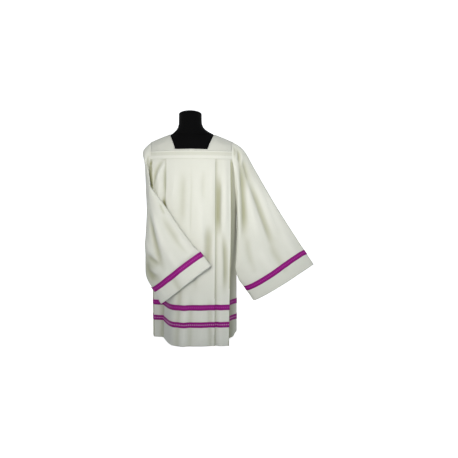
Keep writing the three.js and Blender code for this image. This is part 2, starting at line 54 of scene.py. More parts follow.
Place = tuple[float, float, float]

# ---------------------------------------------------------------- driving dimensions, as in the source

HEM_Z = 3.5
NECK_POINT_Z = 947.0
BAND_TOP_Z = 866.0
BAND_BOTTOM_Z = 838.0
UNDERARM_Z = 600.0
SEAM_GAP = 0.3
SEAM_HALF = 0.2
SIDE_SEAM_HALF = 0.12
BAND_GAP = 0.45
NECK_TOP_HALF = 98.0
NECK_BOTTOM_HALF = 69.0
NECK_SHIFT = (-1.5, 6.0)  # how far the worn neckline has slipped at its left and right edge
SHOULDER_SLOPE = 0.34
SHOULDER_CURVE = 0.0007  # by how much the shoulders fall faster outwards
CHEST_DEPTH = 95.0
CHEST_HALF_WIDTH = 215.0
ARMHOLE_X = 187.0
ARMHOLE_TUCK = 6.0
ARMHOLE_STEPS = 10  # from the shoulder tip to the underarm
YOKE_STEPS = 4  # those of them that lie on the yoke
LOW_SEAM_STEPS = 10  # points for each step below the yoke
CORNER_RISE = 22.0  # how far the hem's right hand corner is drawn up
CORNER_FROM_X = 184.0
CORNER_REACH_X = 22.0
CORNER_TOP_Z = 90.0
RIBBON_WIDTH = 25.5
RIBBON_FLAT = 0.0255  # the same in metres
LOWER_RIBBON_Z = HEM_Z + 82
UPPER_RIBBON_Z = HEM_Z + 158
CUFF_RIBBON_FROM = 56.0
CLOTH_THICKNESS = 1.3
TRIM_THICKNESS = 0.8
TRIM_LIFT = 1.25  # from the cloth's middle to the trim's middle
MERGE_WITHIN = 1e-6  # metres between two points that are one
CREASE_STEPS = 5  # from one point of a crease's path to the next
CREASE_TAPER = 0.35  # share of a crease's length over which each end runs out
TROUGH_OF_FULL_SHADE = 17.0  # rises at which a trough's painted shade and a ridge's painted highlight are whole
RIDGE_OF_FULL_HIGHLIGHT = 12.0
# the most painted shade and painted highlight that a fold is given
MOST_PAINTED_SHADE = 0.75
MOST_PAINTED_HIGHLIGHT = 0.5
SECOND_WAVE = 0.7  # heights of the cloth's second and third waves, the first being 1
THIRD_WAVE = 0.5


class Side(Enum):
    """Which face of the body a piece belongs to, as the sign of its y."""

    FRONT = -1
    BACK = 1

    @property
    def word(self) -> str:
        """The side's word in the names of nodes and pieces."""
        return self.name.lower()


class Hand(Enum):
    """Which side of the body a piece belongs to, as the sign of its x."""

    RIGHT = 1
    LEFT = -1

    @property
    def word(self) -> str:
        """The side's word in the names of nodes and pieces."""
        return self.name.lower()


class Held(Enum):
    """How a piece of cloth is held."""

    HUNG = "hung"
    GATHERED = "gathered"
    DRAPED = "draped"
    FOLDED = "folded"


# ---------------------------------------------------------------- curves and easing


def ease_out(t: float | np.ndarray) -> float | np.ndarray:
    """Quick at the start and slow at the end."""
    return np.sin(np.asarray(t) * math.pi / 2)


def ease_both(t: float | np.ndarray) -> float | np.ndarray:
    """Slow at both ends, for t from 0 to 1."""
    t = np.clip(t, 0, 1)
    return t * t * (3 - 2 * t)


def lerp(a: float | np.ndarray, b: float | np.ndarray, t: float | np.ndarray) -> float | np.ndarray:
    """Straight from a to b."""
    return a + (b - a) * t


def unit(v: np.ndarray) -> np.ndarray:
    """Vectors of length 1 along the last axis."""
    return v / np.maximum(np.linalg.norm(v, axis=-1, keepdims=True), 1e-9)


def catmull(a: np.ndarray, b: np.ndarray, c: np.ndarray, d: np.ndarray, t: float) -> np.ndarray:
    """A point of the Catmull-Rom piece from b to c.

    Args:
        a, b, c, d: The four points that steer the piece, or arrays of them.
        t: From 0 at b to 1 at c.

    Returns:
        The point, or the array of points.
    """
    square, cube = 2 * a - 5 * b + 4 * c - d, 3 * b - a - 3 * c + d
    return 0.5 * (2 * b + (c - a) * t + square * t**2 + cube * t**3)


def fade_from_ends(count: int, reach: float) -> np.ndarray:
    """Shares for a row of points: 0 at both ends and 1 from reach steps inwards."""
    place = np.arange(count)
    return ease_both(np.minimum(place, place[::-1]) / reach)


def smooth_line(points: np.ndarray, steps: int, before: np.ndarray | None = None) -> np.ndarray:
    """Runs a smooth line through points.

    Args:
        points: The points, one a row.
        steps: Steps between one point and the next.
        before: A point ahead of the first that steers the line's start.

    Returns:
        The line's points, the given ones among them.
    """
    first = 2 * points[0] - points[1] if before is None else before
    line = [first, *points, 2 * points[-1] - points[-2]]
    out = [catmull(*line[k : k + 4], s / steps) for k in range(len(points) - 1) for s in range(steps)]
    return np.array([*out, points[-1]])


# ---------------------------------------------------------------- the body's outline


def ridge(x: float | np.ndarray) -> float | np.ndarray:
    """Height of the shoulder line above x."""
    out = np.abs(x) - NECK_TOP_HALF
    return NECK_POINT_Z - SHOULDER_SLOPE * out - SHOULDER_CURVE * out * np.abs(out)


def chest_at(x: float | np.ndarray) -> float | np.ndarray:
    """Depth of the chest at x."""
    return CHEST_DEPTH * np.sqrt(1 - (np.asarray(x) / CHEST_HALF_WIDTH) ** 2)


def angle_at(x: float | np.ndarray, z: float) -> float | np.ndarray:
    """The angle at which the shoulders pass through height z above x."""
    return np.arccos(np.clip((z - BAND_BOTTOM_Z) / (ridge(x) - BAND_BOTTOM_Z), -1, 1))


def shoulder(x: float | np.ndarray, angle: float | np.ndarray, side: Side) -> np.ndarray:
    """Points on the shoulders.

    Args:
        x: The points' x.
        angle: Their place over the shoulder: 0 at its seam, a right angle at the chest band.
        side: Front or back.

    Returns:
        The points as x, y, z.
    """
    rise = (ridge(x) - BAND_BOTTOM_Z) * np.cos(angle)
    y = side.value * (chest_at(x) * np.sin(angle) + SEAM_HALF)
    return np.stack(np.broadcast_arrays(x, y, BAND_BOTTOM_Z + rise), axis=-1)


def armhole_x(angle: float | np.ndarray) -> float | np.ndarray:
    """Distance of the armhole's edge from the middle, on the yoke."""
    return ARMHOLE_X - ARMHOLE_TUCK * np.sin(angle)


YOKE_SEAM_POINT = (877.0, 45.0)  # z and depth of the seam on the yoke, which steer its run below
ARMHOLE_ROWS = np.array(  # z, depth, x on the right, x on the left
    [
        [838, 51.3, 181, 181],
        [800, 57, 188, 186],
        [760, 59, 193, 188],
        [700, 57, 196, 188],
        [645, 43, 199, 187],
        [612, 20, 202, 186],
        [600, 0.2, 203, 185],
    ],
    dtype=float,
)


class Armhole:
    """The seam between body and sleeve, from the shoulder tip to the underarm."""

    def __init__(self, hand: Hand) -> None:
        """Samples the seam below the yoke once, for reading it by height.

        Args:
            hand: Which side's seam.
        """
        self.hand = hand
        column = 2 if hand is Hand.RIGHT else 3
        rows = ARMHOLE_ROWS[:, [0, 1, column]]
        above = np.array([*YOKE_SEAM_POINT, rows[0, 2] - 2])
        self.low = smooth_line(rows, LOW_SEAM_STEPS, above)

    def at(self, k: np.ndarray) -> np.ndarray:
        """Points of the seam's front half.

        Args:
            k: Where, from 0 at the shoulder tip to ARMHOLE_STEPS at the underarm.

        Returns:
            x, depth and z, all counted from the middle outwards.
        """
        angle = np.radians(np.clip(k, 0, YOKE_STEPS) * (90 / YOKE_STEPS))
        x = armhole_x(angle)
        rise = (ridge(x) - BAND_BOTTOM_Z) * np.cos(angle)
        top = np.stack([x, chest_at(x) * np.sin(angle), BAND_BOTTOM_Z + rise], -1)
        place = np.clip(k - YOKE_STEPS, 0, ARMHOLE_STEPS - YOKE_STEPS) * LOW_SEAM_STEPS
        steps = np.arange(len(self.low))
        z, depth, low_x = (np.interp(place, steps, self.low[:, c]) for c in range(3))
        return np.where((k < YOKE_STEPS)[:, None], top, np.stack([low_x, depth, z], -1))

    def edge(self, z: float) -> tuple[float, float]:
        """The seam's place at a height below the chest band.

        Args:
            z: The height.

        Returns:
            Its x and its depth.
        """
        heights, depths, outwards = self.low[::-1].T
        out, depth = (float(np.interp(z, heights, values)) for values in (outwards, depths))
        return self.hand.value * out, depth


# ---------------------------------------------------------------- creases


@dataclass(frozen=True)
class Crease:
    """One soft trough or ridge that runs over the cloth.

    Attributes:
        path: Points of its line as x and z.
        rise: Its height, negative for a trough.
        width: How far its slopes reach on each side.
        lean: From -1 to 1, how much steeper one slope is than the other.
        ends: Share of the rise that is left at its first and last point.
    """

    path: tuple[tuple[float, float], ...]
    rise: float
    width: float
    lean: float = 0.0
    ends: tuple[float, float] = (0.0, 0.0)

    def rise_at(self, x: np.ndarray, z: np.ndarray) -> np.ndarray:
        """The crease's height at points of the cloth.

        Args:
            x: The points' x.
            z: The points' z.

        Returns:
            The height at each, in millimetres.
        """
        line = np.array(self.path, dtype=float)
        if len(line) > 2:
            line = smooth_line(line, CREASE_STEPS)
        start, step = line[:-1], line[1:] - line[:-1]
        length = np.linalg.norm(step, axis=1)
        gap = np.stack([x, z], -1)[..., None, :] - start
        along = np.clip((gap * step).sum(-1) / length**2, 0, 1)
        gap = gap - along[..., None] * step
        away = np.linalg.norm(gap, axis=-1)
        near = away.argmin(-1)[..., None]
        pick = lambda values: np.take_along_axis(values, near, -1)[..., 0]
        hand = np.sign(pick(step[:, 0] * gap[..., 1] - step[:, 1] * gap[..., 0]))
        run = np.concatenate([[0.0], np.cumsum(length)])
        t = pick(run[:-1] + along * length) / run[-1]
        first, last = (lerp(end, 1, ease_both(s / CREASE_TAPER)) for end, s in zip(self.ends, (t, 1 - t)))
        reach = self.width * (1 + self.lean * hand)
        return self.rise * np.exp(-((pick(away) / reach) ** 2)) * (first * last)


def creased_by(creases: Sequence[Crease], x: np.ndarray, z: np.ndarray) -> np.ndarray:
    """The height that creases give the cloth together."""
    return sum(crease.rise_at(x, z) for crease in creases)


def painted_fold_shade(rise: np.ndarray) -> np.ndarray:
    """The painted shade of cloth in a fold's trough, and the painted highlight on its ridge.

    Args:
        rise: How far each point has been raised.

    Returns:
        Painted shade up to 1 at the deepest, and below 0 for a painted highlight on a ridge.
    """
    return np.clip(-rise / TROUGH_OF_FULL_SHADE, 0, MOST_PAINTED_SHADE) - np.clip(rise / RIDGE_OF_FULL_HIGHLIGHT, 0, MOST_PAINTED_HIGHLIGHT)


def undulation(x: np.ndarray, z: np.ndarray, height: float, seed: float) -> np.ndarray:
    """Slow uneven waves that no hanging cloth is without.

    Args:
        x: The points' x.
        z: The points' z.
        height: The most that a wave rises.
        seed: Shifts the waves, so that no two pieces share them.

    Returns:
        The height at each point.
    """
    waves = (
        np.sin(x / 23 + 1.7 * np.sin(z / 190 + seed) + seed)
        + SECOND_WAVE * np.sin(x / 41 - z / 260 + 2.1 * seed)
        + THIRD_WAVE * np.sin(x / 13 + z / 83 + 3.3 * seed) * np.sin(z / 147 + seed)
    )
    return height * waves / (1 + SECOND_WAVE + THIRD_WAVE)


# ---------------------------------------------------------------- grids of cloth


@dataclass
class ClothGrid:
    """Points over a piece of cloth, in rows and columns.

    Attributes:
        points: Rows by columns by x, y, z in millimetres.
        closed: Whether the last column meets the first, as round a sleeve.
        from_last_row: Whether lengths along the cloth count from the last row.
        folds: The painted shade of each point's fold, up to 1 at the darkest, and below 0 for a painted
            highlight on a ridge.
    """

    points: np.ndarray
    closed: bool = False
    from_last_row: bool = True
    folds: np.ndarray | None = None

    def normals(self) -> np.ndarray:
        """Directions off the cloth.

        Returns:
            One of length 1 at each point, off the same face all over.
        """
        padded = self.points
        if self.closed:
            padded = np.concatenate([padded[:, -2:-1], padded, padded[:, 1:2]], axis=1)
        along = np.gradient(padded, axis=1)
        across = np.gradient(padded, axis=0)
        normals = unit(np.cross(across, along))
        return normals[:, 1:-1] if self.closed else normals

    def middle(self) -> np.ndarray:
        """The middle of each row of a closed grid."""
        return self.points[:, :-1].mean(axis=1, keepdims=True)

    def outward(self) -> np.ndarray:
        """The directions off a closed grid that point away from its middle."""
        normals = self.normals()
        return normals * np.sign(((self.points - self.middle()) * normals).sum())

    def moved(self, directions: np.ndarray, distance: np.ndarray | float) -> "ClothGrid":
        """Moves the cloth.

        Args:
            directions: The way that each point goes.
            distance: How far, for all of them or for each.

        Returns:
            The moved copy.
        """
        distance = np.asarray(distance, dtype=float)
        step = directions * (distance[..., None] if distance.ndim else distance)
        return replace(self, points=self.points + step)

    def rows(self, first: int, last: int) -> "ClothGrid":
        """The rows from first to last, both included."""
        folds = None if self.folds is None else self.folds[first : last + 1]
        return replace(self, points=self.points[first : last + 1], folds=folds)

    def lengths(self) -> tuple[np.ndarray, np.ndarray]:
        """Lengths along the cloth in metres.

        Returns:
            At each point, the length across from the middle column, and the length along from one edge.
        """
        u = np.zeros(self.points.shape[:2])
        v = np.zeros(self.points.shape[:2])
        u[:, 1:] = np.linalg.norm(np.diff(self.points, axis=1), axis=-1).cumsum(axis=1)
        v[1:] = np.linalg.norm(np.diff(self.points, axis=0), axis=-1).cumsum(axis=0)
        if not self.closed:
            u -= u[:, [u.shape[1] // 2]]
        if self.from_last_row:
            v = v[-1] - v
        return u * MM, v * MM

    def area(self) -> float:
        """The cloth's area in square metres, one layer."""
        a, b = np.diff(self.points, axis=0)[:, :-1], np.diff(self.points, axis=1)[:-1]
        return float(np.linalg.norm(np.cross(a, b), axis=-1).sum()) * MM * MM


def mesh_of(grid: ClothGrid) -> bmesh.types.BMesh:
    """Shapes a plane of squares to a grid's points.

    Args:
        grid: The points that the plane takes.

    Returns:
        A bmesh in metres, with the cloth's lengths as its UV map and the folds' painted shade at its
        vertices.
    """
    rows, cols = grid.points.shape[:2]
    bm = bmesh.new()
    layer = bm.loops.layers.uv.new("cloth")
    # the fold attribute carries painted shade and painted highlights for the cloth's colour
    depth = bm.verts.layers.float.new("fold")
    bmesh.ops.create_grid(bm, x_segments=cols - 1, y_segments=rows - 1, size=1.0)
    u, v = grid.lengths()
    cell = {
        vert: (round((vert.co.y + 1) / 2 * (rows - 1)), round((vert.co.x + 1) / 2 * (cols - 1)))
        for vert in bm.verts
    }
    for face in bm.faces:
        face.smooth = True
        for loop in face.loops:
            place = cell[loop.vert]
            loop[layer].uv = (u[place], v[place])
    for vert, place in cell.items():
        vert.co = Vector(grid.points[place]) * MM
        vert[depth] = 0.0 if grid.folds is None else float(grid.folds[place])
    if grid.closed:
        bmesh.ops.remove_doubles(bm, verts=bm.verts, dist=MERGE_WITHIN)
    return bm


def finish_mesh(name: str, bm: bmesh.types.BMesh, material: bpy.types.Material) -> bpy.types.Object:
    """Puts a bmesh into the scene.

    Args:
        name: The object's name.
        bm: The bmesh, which is used up.
        material: The object's one material.

    Returns:
        The object.
    """
    mesh = bpy.data.meshes.new(name)
    bm.to_mesh(mesh)
    bm.free()
    piece = bpy.data.objects.new(name, mesh)
    piece.data.materials.append(material)
    bpy.context.scene.collection.objects.link(piece)
    return piece


def declare(piece: bpy.types.Object, node: str) -> None:
    """Hangs a piece on the root and hides the solid that it replaces.

    Args:
        piece: The piece.
        node: The solid that it replaces.
    """
    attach(piece, "root")
    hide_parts(node)


@dataclass(frozen=True)
class Piece:
    """What is given for a piece of cloth.

    Attributes:
        name: The piece's name in the scene.
        node: The solid that it stands for.
        slot: The record's material slot, which is not used.
        flat: Width and length of its cut, in metres; not used.
        area: The cut's area in square metres, where it isn't a rectangle; not used.
        held: How it is held; not used.
        rests_on: What it hangs from or lies on; not used.
        thickness: The cloth's thickness in millimetres.
    """

    name: str
    node: str
    slot: str
    flat: tuple[float, float]
    held: Held
    rests_on: tuple[str, ...]
    area: float | None = None
    thickness: float = CLOTH_THICKNESS

    def make(self, grid: ClothGrid, material: bpy.types.Material) -> None:
        """Args:
            grid: The middle of the cloth.
            material: The piece's finish.
        """
        piece = finish_mesh(self.name, mesh_of(grid), material)
        wall = piece.modifiers.new("cloth wall", "SOLIDIFY")
        wall.thickness = self.thickness * MM
        wall.offset = 0.0
        declare(piece, self.node)
        rows, cols = grid.points.shape[:2]
        LOG.info("%s: %d rows of %d, %.4f square metres", self.name, rows, cols, grid.area())


# ---------------------------------------------------------------- shader maths


class Shade:
    """A socket of a material whose arithmetic adds Math nodes."""

    def __init__(self, graph: "Graph", socket: bpy.types.NodeSocket) -> None:
        """Wraps one output."""
        self.graph = graph
        self.socket = socket

    def math(self, operation: str, *values: "Shade | float") -> "Shade":
        """A Math node on values."""
        return self.graph.add("ShaderNodeMath", {"operation": operation}, dict(enumerate(values)))

    def __add__(self, other: "Shade | float") -> "Shade":
        """Sum."""
        return self.math("ADD", self, other)

    __radd__ = __add__

    def __sub__(self, other: "Shade | float") -> "Shade":
        """Difference."""
        return self.math("SUBTRACT", self, other)

    def __rsub__(self, other: float) -> "Shade":
        """Difference from a number."""
        return self.math("SUBTRACT", other, self)

    def __mul__(self, other: "Shade | float") -> "Shade":
        """Product."""
        return self.math("MULTIPLY", self, other)

    __rmul__ = __mul__

    def __truediv__(self, other: "Shade | float") -> "Shade":
        """Quotient."""
        return self.math("DIVIDE", self, other)

    def __abs__(self) -> "Shade":
        """Size without sign."""
        return self.math("ABSOLUTE", self)

    def sine(self) -> "Shade":
        """Sine."""
        return self.math("SINE", self)

    def at_most(self, limit: "Shade | float") -> "Shade":
        """The smaller of this and the limit."""
        return self.math("MINIMUM", self, limit)

    def at_least(self, limit: "Shade | float") -> "Shade":
        """The larger of this and the limit."""
        return self.math("MAXIMUM", self, limit)

    def within(self) -> "Shade":
        """Held between 0 and 1."""
        return self.at_least(0.0).at_most(1.0)

    def thin(self, sharpness: float) -> "Shade":
        """A thin line: 1 where this is 0, gone at 1 / sharpness on both sides."""
        return (1.0 - abs(self) * sharpness).within()

    def ripple(self, pitch: float) -> "Shade":
        """A sine that comes round once in each pitch of this length."""
        return (self * (2 * math.pi / pitch)).sine()

    def bars(self, pitch: float) -> "Shade":
        """Bumps from 0 to 1, one in each pitch of this length."""
        return abs((self * (math.pi / pitch)).sine())

    def dashes(self, pitch: float) -> "Shade":
        """Stitches from 0 to 1 with short gaps, one in each pitch of this length."""
        return (self.ripple(pitch) * 1.5 + 0.6).within()


class Graph:
    """The nodes of one material."""

    def __init__(self, name: str) -> None:
        """Starts an empty material.

        Args:
            name: The material's name.
        """
        self.material = bpy.data.materials.new(name)
        self.material.use_nodes = True
        self.tree = self.material.node_tree
        self.tree.nodes.clear()

    def add(
        self,
        kind: str,
        settings: dict[str, object] | None = None,
        inputs: dict[str | int, object] | None = None,
        output: str | int = 0,
    ) -> Shade:
        """Adds a node.

        Args:
            kind: The node's type.
            settings: Its settings, which are set first.
            inputs: Values or links of its sockets.
            output: Which output to hand back.

        Returns:
            The output, ready for arithmetic.
        """
        node = self.tree.nodes.new(kind)
        for key, value in (settings or {}).items():
            setattr(node, key, value)
        for key, value in (inputs or {}).items():
            if isinstance(value, Shade):
                self.tree.links.new(value.socket, node.inputs[key])
            else:
                node.inputs[key].default_value = value
        return Shade(self, node.outputs[output])

    def blend(self, factor: "Shade | float", first: "Shade | RGB", second: "Shade | RGB") -> Shade:
        """Mixes two colours.

        Args:
            factor: Share of the second.
            first: The first colour.
            second: The second colour.

        Returns:
            The colour between them.
        """
        pick = lambda c: c if isinstance(c, Shade) else (*c, 1.0)
        inputs = {0: factor, 6: pick(first), 7: pick(second)}
        return self.add("ShaderNodeMix", {"data_type": "RGBA"}, inputs, 2)

    def split(self, place: Shade) -> tuple[Shade, Shade, Shade]:
        """Takes a place apart.

        Args:
            place: The place.

        Returns:
            Its x, y and z.
        """
        x = self.add("ShaderNodeSeparateXYZ", {}, {0: place}, "X")
        y, z = (Shade(self, x.socket.node.outputs[name]) for name in ("Y", "Z"))
        return x, y, z

    def cloth_lengths(self) -> tuple[Shade, Shade, Shade]:
        """The piece's own UV map, whole and as its two lengths in metres."""
        uv = self.add("ShaderNodeUVMap", {"uv_map": "cloth"})
        return uv, *self.split(uv)[:2]

    def noise(self, place: Shade, scale: float, detail: float = 2.0, rough: float = 0.5) -> Shade:
        """Makes smooth noise.

        Args:
            place: Where on the surface.
            scale: Waves in a metre.
            detail: How many finer waves lie on them.
            rough: How high the finer ones are.

        Returns:
            The noise, from 0 to 1.
        """
        inputs = {"Vector": place, "Scale": scale, "Detail": detail, "Roughness": rough}
        return self.add("ShaderNodeTexNoise", {}, inputs, "Fac")

    def folds(self) -> Shade:
        """The painted shade of the point's fold, below 0 for a painted highlight."""
        return self.add("ShaderNodeAttribute", {"attribute_name": "fold"}, {}, "Fac")

    def object_place(self) -> Shade:
        """The point's place in the object."""
        return self.add("ShaderNodeTexCoord", {}, {}, "Object")

    def bump(self, height: Shade, distance: float, strength: float, under: Shade | None = None) -> Shade:
        """Turns a height into relief.

        Args:
            height: The height, of which 1 is the full distance.
            distance: The full distance in metres.
            strength: How strongly it shows.
            under: A coarser relief that this one lies on.

        Returns:
            The relief, for a shader's Normal.
        """
        inputs: dict[str | int, object] = {"Height": height, "Distance": distance, "Strength": strength}
        if under is not None:
            inputs["Normal"] = under
        return self.add("ShaderNodeBump", {}, inputs)

    def surface(self, inputs: dict[str | int, object]) -> bpy.types.Material:
        """Ends the material.

        Args:
            inputs: Values or links of its shader's sockets.

        Returns:
            The finished material.
        """
        shader = self.add("ShaderNodeBsdfPrincipled", {}, inputs)
        output = self.tree.nodes.new("ShaderNodeOutputMaterial")
        self.tree.links.new(shader.socket, output.inputs["Surface"])
        return self.material


# ---------------------------------------------------------------- finishes


def shaded(colour: RGB, share: float) -> RGB:
    """A colour that keeps a share of its light."""
    return tuple(part * share for part in colour)


@dataclass(frozen=True)
class IvoryCloth:
    """A matt plain weave in ivory, with rows of stitches along an edge.

    Attributes:
        name: The material's name.
        stitch_rows: Distance of each row from the edge that the piece counts from, in metres.
        shade: Share of light that the cloth keeps, below 1 for a darker copy with painted shade, as on the
            yoke.
        thread: Spacing of the threads in metres.
        stitch: Length of a stitch and its gap, in metres.
        slubs: How many thick stretches of thread lie in a metre, across and along.
        colour: The cloth where it is at its lightest.
        deep: The cloth where it is at its darkest, flat.
        painted_shade_colour: The painted shade that it turns to in the depth of a fold.
        painted_highlight: The painted highlight that it turns to on a fold's ridge.
    """

    name: str
    stitch_rows: tuple[float, ...] = ()
    shade: float = 1.0
    thread: float = 0.0011
    stitch: float = 0.0032
    slubs: tuple[float, float, float] = (160.0, 900.0, 1.0)
    colour: RGB = (0.68, 0.682, 0.62)
    deep: RGB = (0.60, 0.605, 0.54)
    painted_shade_colour: RGB = (0.24, 0.24, 0.10)
    painted_highlight: RGB = (0.74, 0.74, 0.68)

    def material(self) -> bpy.types.Material:
        """Makes the material.

        Returns:
            The finish, ready for its pieces.
        """
        g = Graph(self.name)
        uv, u, v = g.cloth_lengths()
        weave = u.ripple(self.thread) * v.ripple(self.thread) * 0.5 + 0.5
        slubs = g.noise(g.add("ShaderNodeMapping", {}, {"Vector": uv, "Scale": self.slubs}), 1.0, 1.0)
        cloud = g.noise(uv, 9.0, 3.0, 0.55)
        creases = g.noise(uv, 34.0, 3.0, 0.6)
        # cloud, slubs and weave vary the cloth's own tone; the wrinkle noise, which also makes the soft
        # bump, adds painted shade where the wrinkles lie low
        tone = (cloud * 0.55 + slubs * 0.25 + weave * 0.12 + creases * 0.2).within()
        dark = shaded(self.deep, self.shade)
        colour = g.blend(tone, dark, shaded(self.colour, self.shade))
        # painted shade in the folds' troughs and beside the pleats, painted highlights on ridges and pleat
        # edges
        folds = g.folds()
        colour = g.blend(folds.within(), colour, self.painted_shade_colour)
        colour = g.blend((0.0 - folds).within(), colour, self.painted_highlight)
        stitched: Shade | float = 0.0
        for row in self.stitch_rows:
            stitched = (v - row).thin(1400.0) + stitched
        height = weave * 0.35 + slubs * 0.35
        if self.stitch_rows:
            dash = u.dashes(self.stitch)
            colour = g.blend(stitched * (0.35 + dash * 0.3), colour, shaded(dark, 0.84))
            height = height - stitched * (0.7 - dash * 0.4)
        soft = g.bump(creases, 0.006, 0.3)
        return g.surface(
            {
                "Base Color": colour,
                "Roughness": 0.84 + cloud * 0.12,
                "Normal": g.bump(height, 0.0004, 0.35, soft),
                "Sheen Weight": 0.12,
                "Sheen Roughness": 0.5,
                "Specular IOR Level": 0.25,
            }
        )


@dataclass(frozen=True)
class WovenRibbon:
    """A magenta ribbon with a pale picot, darker selvedges and a row of light flecks along its middle.

    Attributes:
        name: The material's name.
        width: The ribbon's width in metres.
        ground: Its colour between the woven lines.
        selvedge: Colour of its darker borders.
        satin: Colour of its fine woven lines.
        light: Colour of the flecks.
        pale: Colour of the picot.
        repeat: Length of one fleck and its gap, in metres.
        rib: Spacing of its ribs in metres.
        picot: Width of the pale edge as a share of the half width.
    """

    name: str = "magenta_ribbon"
    width: float = RIBBON_WIDTH * MM
    ground: RGB = (0.255, 0.003, 0.175)
    selvedge: RGB = (0.115, 0.003, 0.08)
    satin: RGB = (0.46, 0.025, 0.35)
    light: RGB = (0.46, 0.025, 0.35)
    pale: RGB = (0.62, 0.24, 0.50)
    repeat: float = 0.0085
    rib: float = 0.0011
    picot: float = 0.11

    def material(self) -> bpy.types.Material:
        """Makes the material.

        Returns:
            The finish, ready for its pieces.
        """
        g = Graph(self.name)
        uv, u, v = g.cloth_lengths()
        across = abs(v / self.width - 0.5) * 2.0
        beat = u.bars(self.repeat)
        fleck = ((beat * 0.30 - across) * 9.0).within()
        vine = (across - 0.42 + beat * 0.08).thin(16.0)
        cord = (across - 0.70).thin(20.0)
        border = ((across - 0.76) * 22.0).within()
        edge = ((across - (1.0 - self.picot)) * 40.0).within()
        ribs = u.ripple(self.rib) * 0.5 + 0.5
        cloud = g.noise(uv, 55.0, 3.0)
        colour = g.blend((vine * 0.25 + cord * 0.15).within(), self.ground, self.satin)
        colour = g.blend(fleck * 0.7, colour, self.light)
        colour = g.blend(border * 0.75, colour, self.selvedge)
        colour = g.blend(ribs * 0.14 + cloud * 0.22, colour, self.selvedge)
        colour = g.blend(edge * (ribs * 0.3 + 0.55), colour, self.pale)
        height = ribs * 0.4 + fleck * 0.6 + vine * 0.5 + cord * 0.8 + border * 0.3
        return g.surface(
            {
                "Base Color": colour,
                "Roughness": 0.60 - fleck * 0.2 - cord * 0.12 + cloud * 0.1,
                "Normal": g.bump(height, 0.0004, 0.5),
                "Specular IOR Level": 0.12,
            }
        )


@dataclass(frozen=True)
class WhiteTape:
    """The bright folded tape round the neckline, stitched near its outer edge.

    Attributes:
        name: The material's name.
        colour: The tape's colour.
        stitch_row: Distance of the stitches from the tape's inner edge, in metres.
        stitch: Length of a stitch and its gap, in metres.
        twill: Spacing of the tape's slanting ribs in metres.
    """

    name: str = "white_tape"
    colour: RGB = (0.93, 0.93, 0.90)
    stitch_row: float = 0.0056
    stitch: float = 0.003
    twill: float = 0.0008

    def material(self) -> bpy.types.Material:
        """Makes the material.

        Returns:
            The finish, ready for its pieces.
        """
        g = Graph(self.name)
        uv, u, v = g.cloth_lengths()
        twill = (u + v).ripple(self.twill) * 0.5 + 0.5
        cloud = g.noise(uv, 70.0, 2.0)
        line = (v - self.stitch_row).thin(2500.0)
        dark = twill * 0.1 + cloud * 0.2 + line * u.dashes(self.stitch) * 0.3
        return g.surface(
            {
                "Base Color": g.blend(dark, self.colour, shaded(self.colour, 0.7)),
                "Roughness": 0.7 + cloud * 0.15,
                "Normal": g.bump(twill * 0.4 - line * 0.8, 0.0003, 0.4),
                "Sheen Weight": 0.1,
            }
        )


@dataclass(frozen=True)
class BlackJersey:
    """The fine black knit that covers the dress form.

    Attributes:
        name: The material's name.
        colour: The knit's colour.
        worn: Its colour where it is rubbed.
        stitch: Spacing of its stitches in metres.
    """

    name: str = "black_jersey"
    colour: RGB = (0.0006, 0.0006, 0.0007)
    worn: RGB = (0.0016, 0.0016, 0.0018)
    stitch: float = 0.0014

    def material(self) -> bpy.types.Material:
        """Makes the material.

        Returns:
            The finish, ready for its pieces.
        """
        g = Graph(self.name)
        place = g.object_place()
        fuzz = g.noise(place, 900.0, 2.0)
        cloud = g.noise(place, 14.0, 3.0)
        x, _, z = g.split(place)
        wales, courses = x.bars(self.stitch), z.bars(self.stitch)
        return g.surface(
            {
                "Base Color": g.blend((cloud * 0.5 + fuzz * 0.3).within(), self.colour, self.worn),
                "Roughness": 0.78 + fuzz * 0.14,
                "Normal": g.bump(wales * 0.3 + courses * 0.3 + fuzz * 0.5, 0.0004, 0.35),
                "Sheen Weight": 0.01,
                "Sheen Roughness": 0.4,
                "Specular IOR Level": 0.05,
            }
        )


@dataclass(frozen=True)
class BlackSteel:
    """Powder coated steel with an orange peel surface, rubbed paler here and there.

    Attributes:
        name: The material's name.
        colour: The coat's colour.
        rubbed: Its colour where it is worn.
    """

    name: str = "black_steel"
    colour: RGB = (0.022, 0.022, 0.024)
    rubbed: RGB = (0.07, 0.07, 0.073)

    def material(self) -> bpy.types.Material:
        """Makes the material.

        Returns:
            The finish, ready for its pieces.
        """
        g = Graph(self.name)
        place = g.object_place()
        peel = g.noise(place, 420.0, 2.0)
        wear = ((g.noise(place, 22.0, 4.0) - 0.58) * 6.0).within()
        return g.surface(
            {
                "Base Color": g.blend(wear * 0.6, self.colour, self.rubbed),
                "Roughness": 0.42 + peel * 0.12 + wear * 0.15,
                "Normal": g.bump(peel, 0.0003, 0.3),
                "Metallic": 0.25,
            }
        )


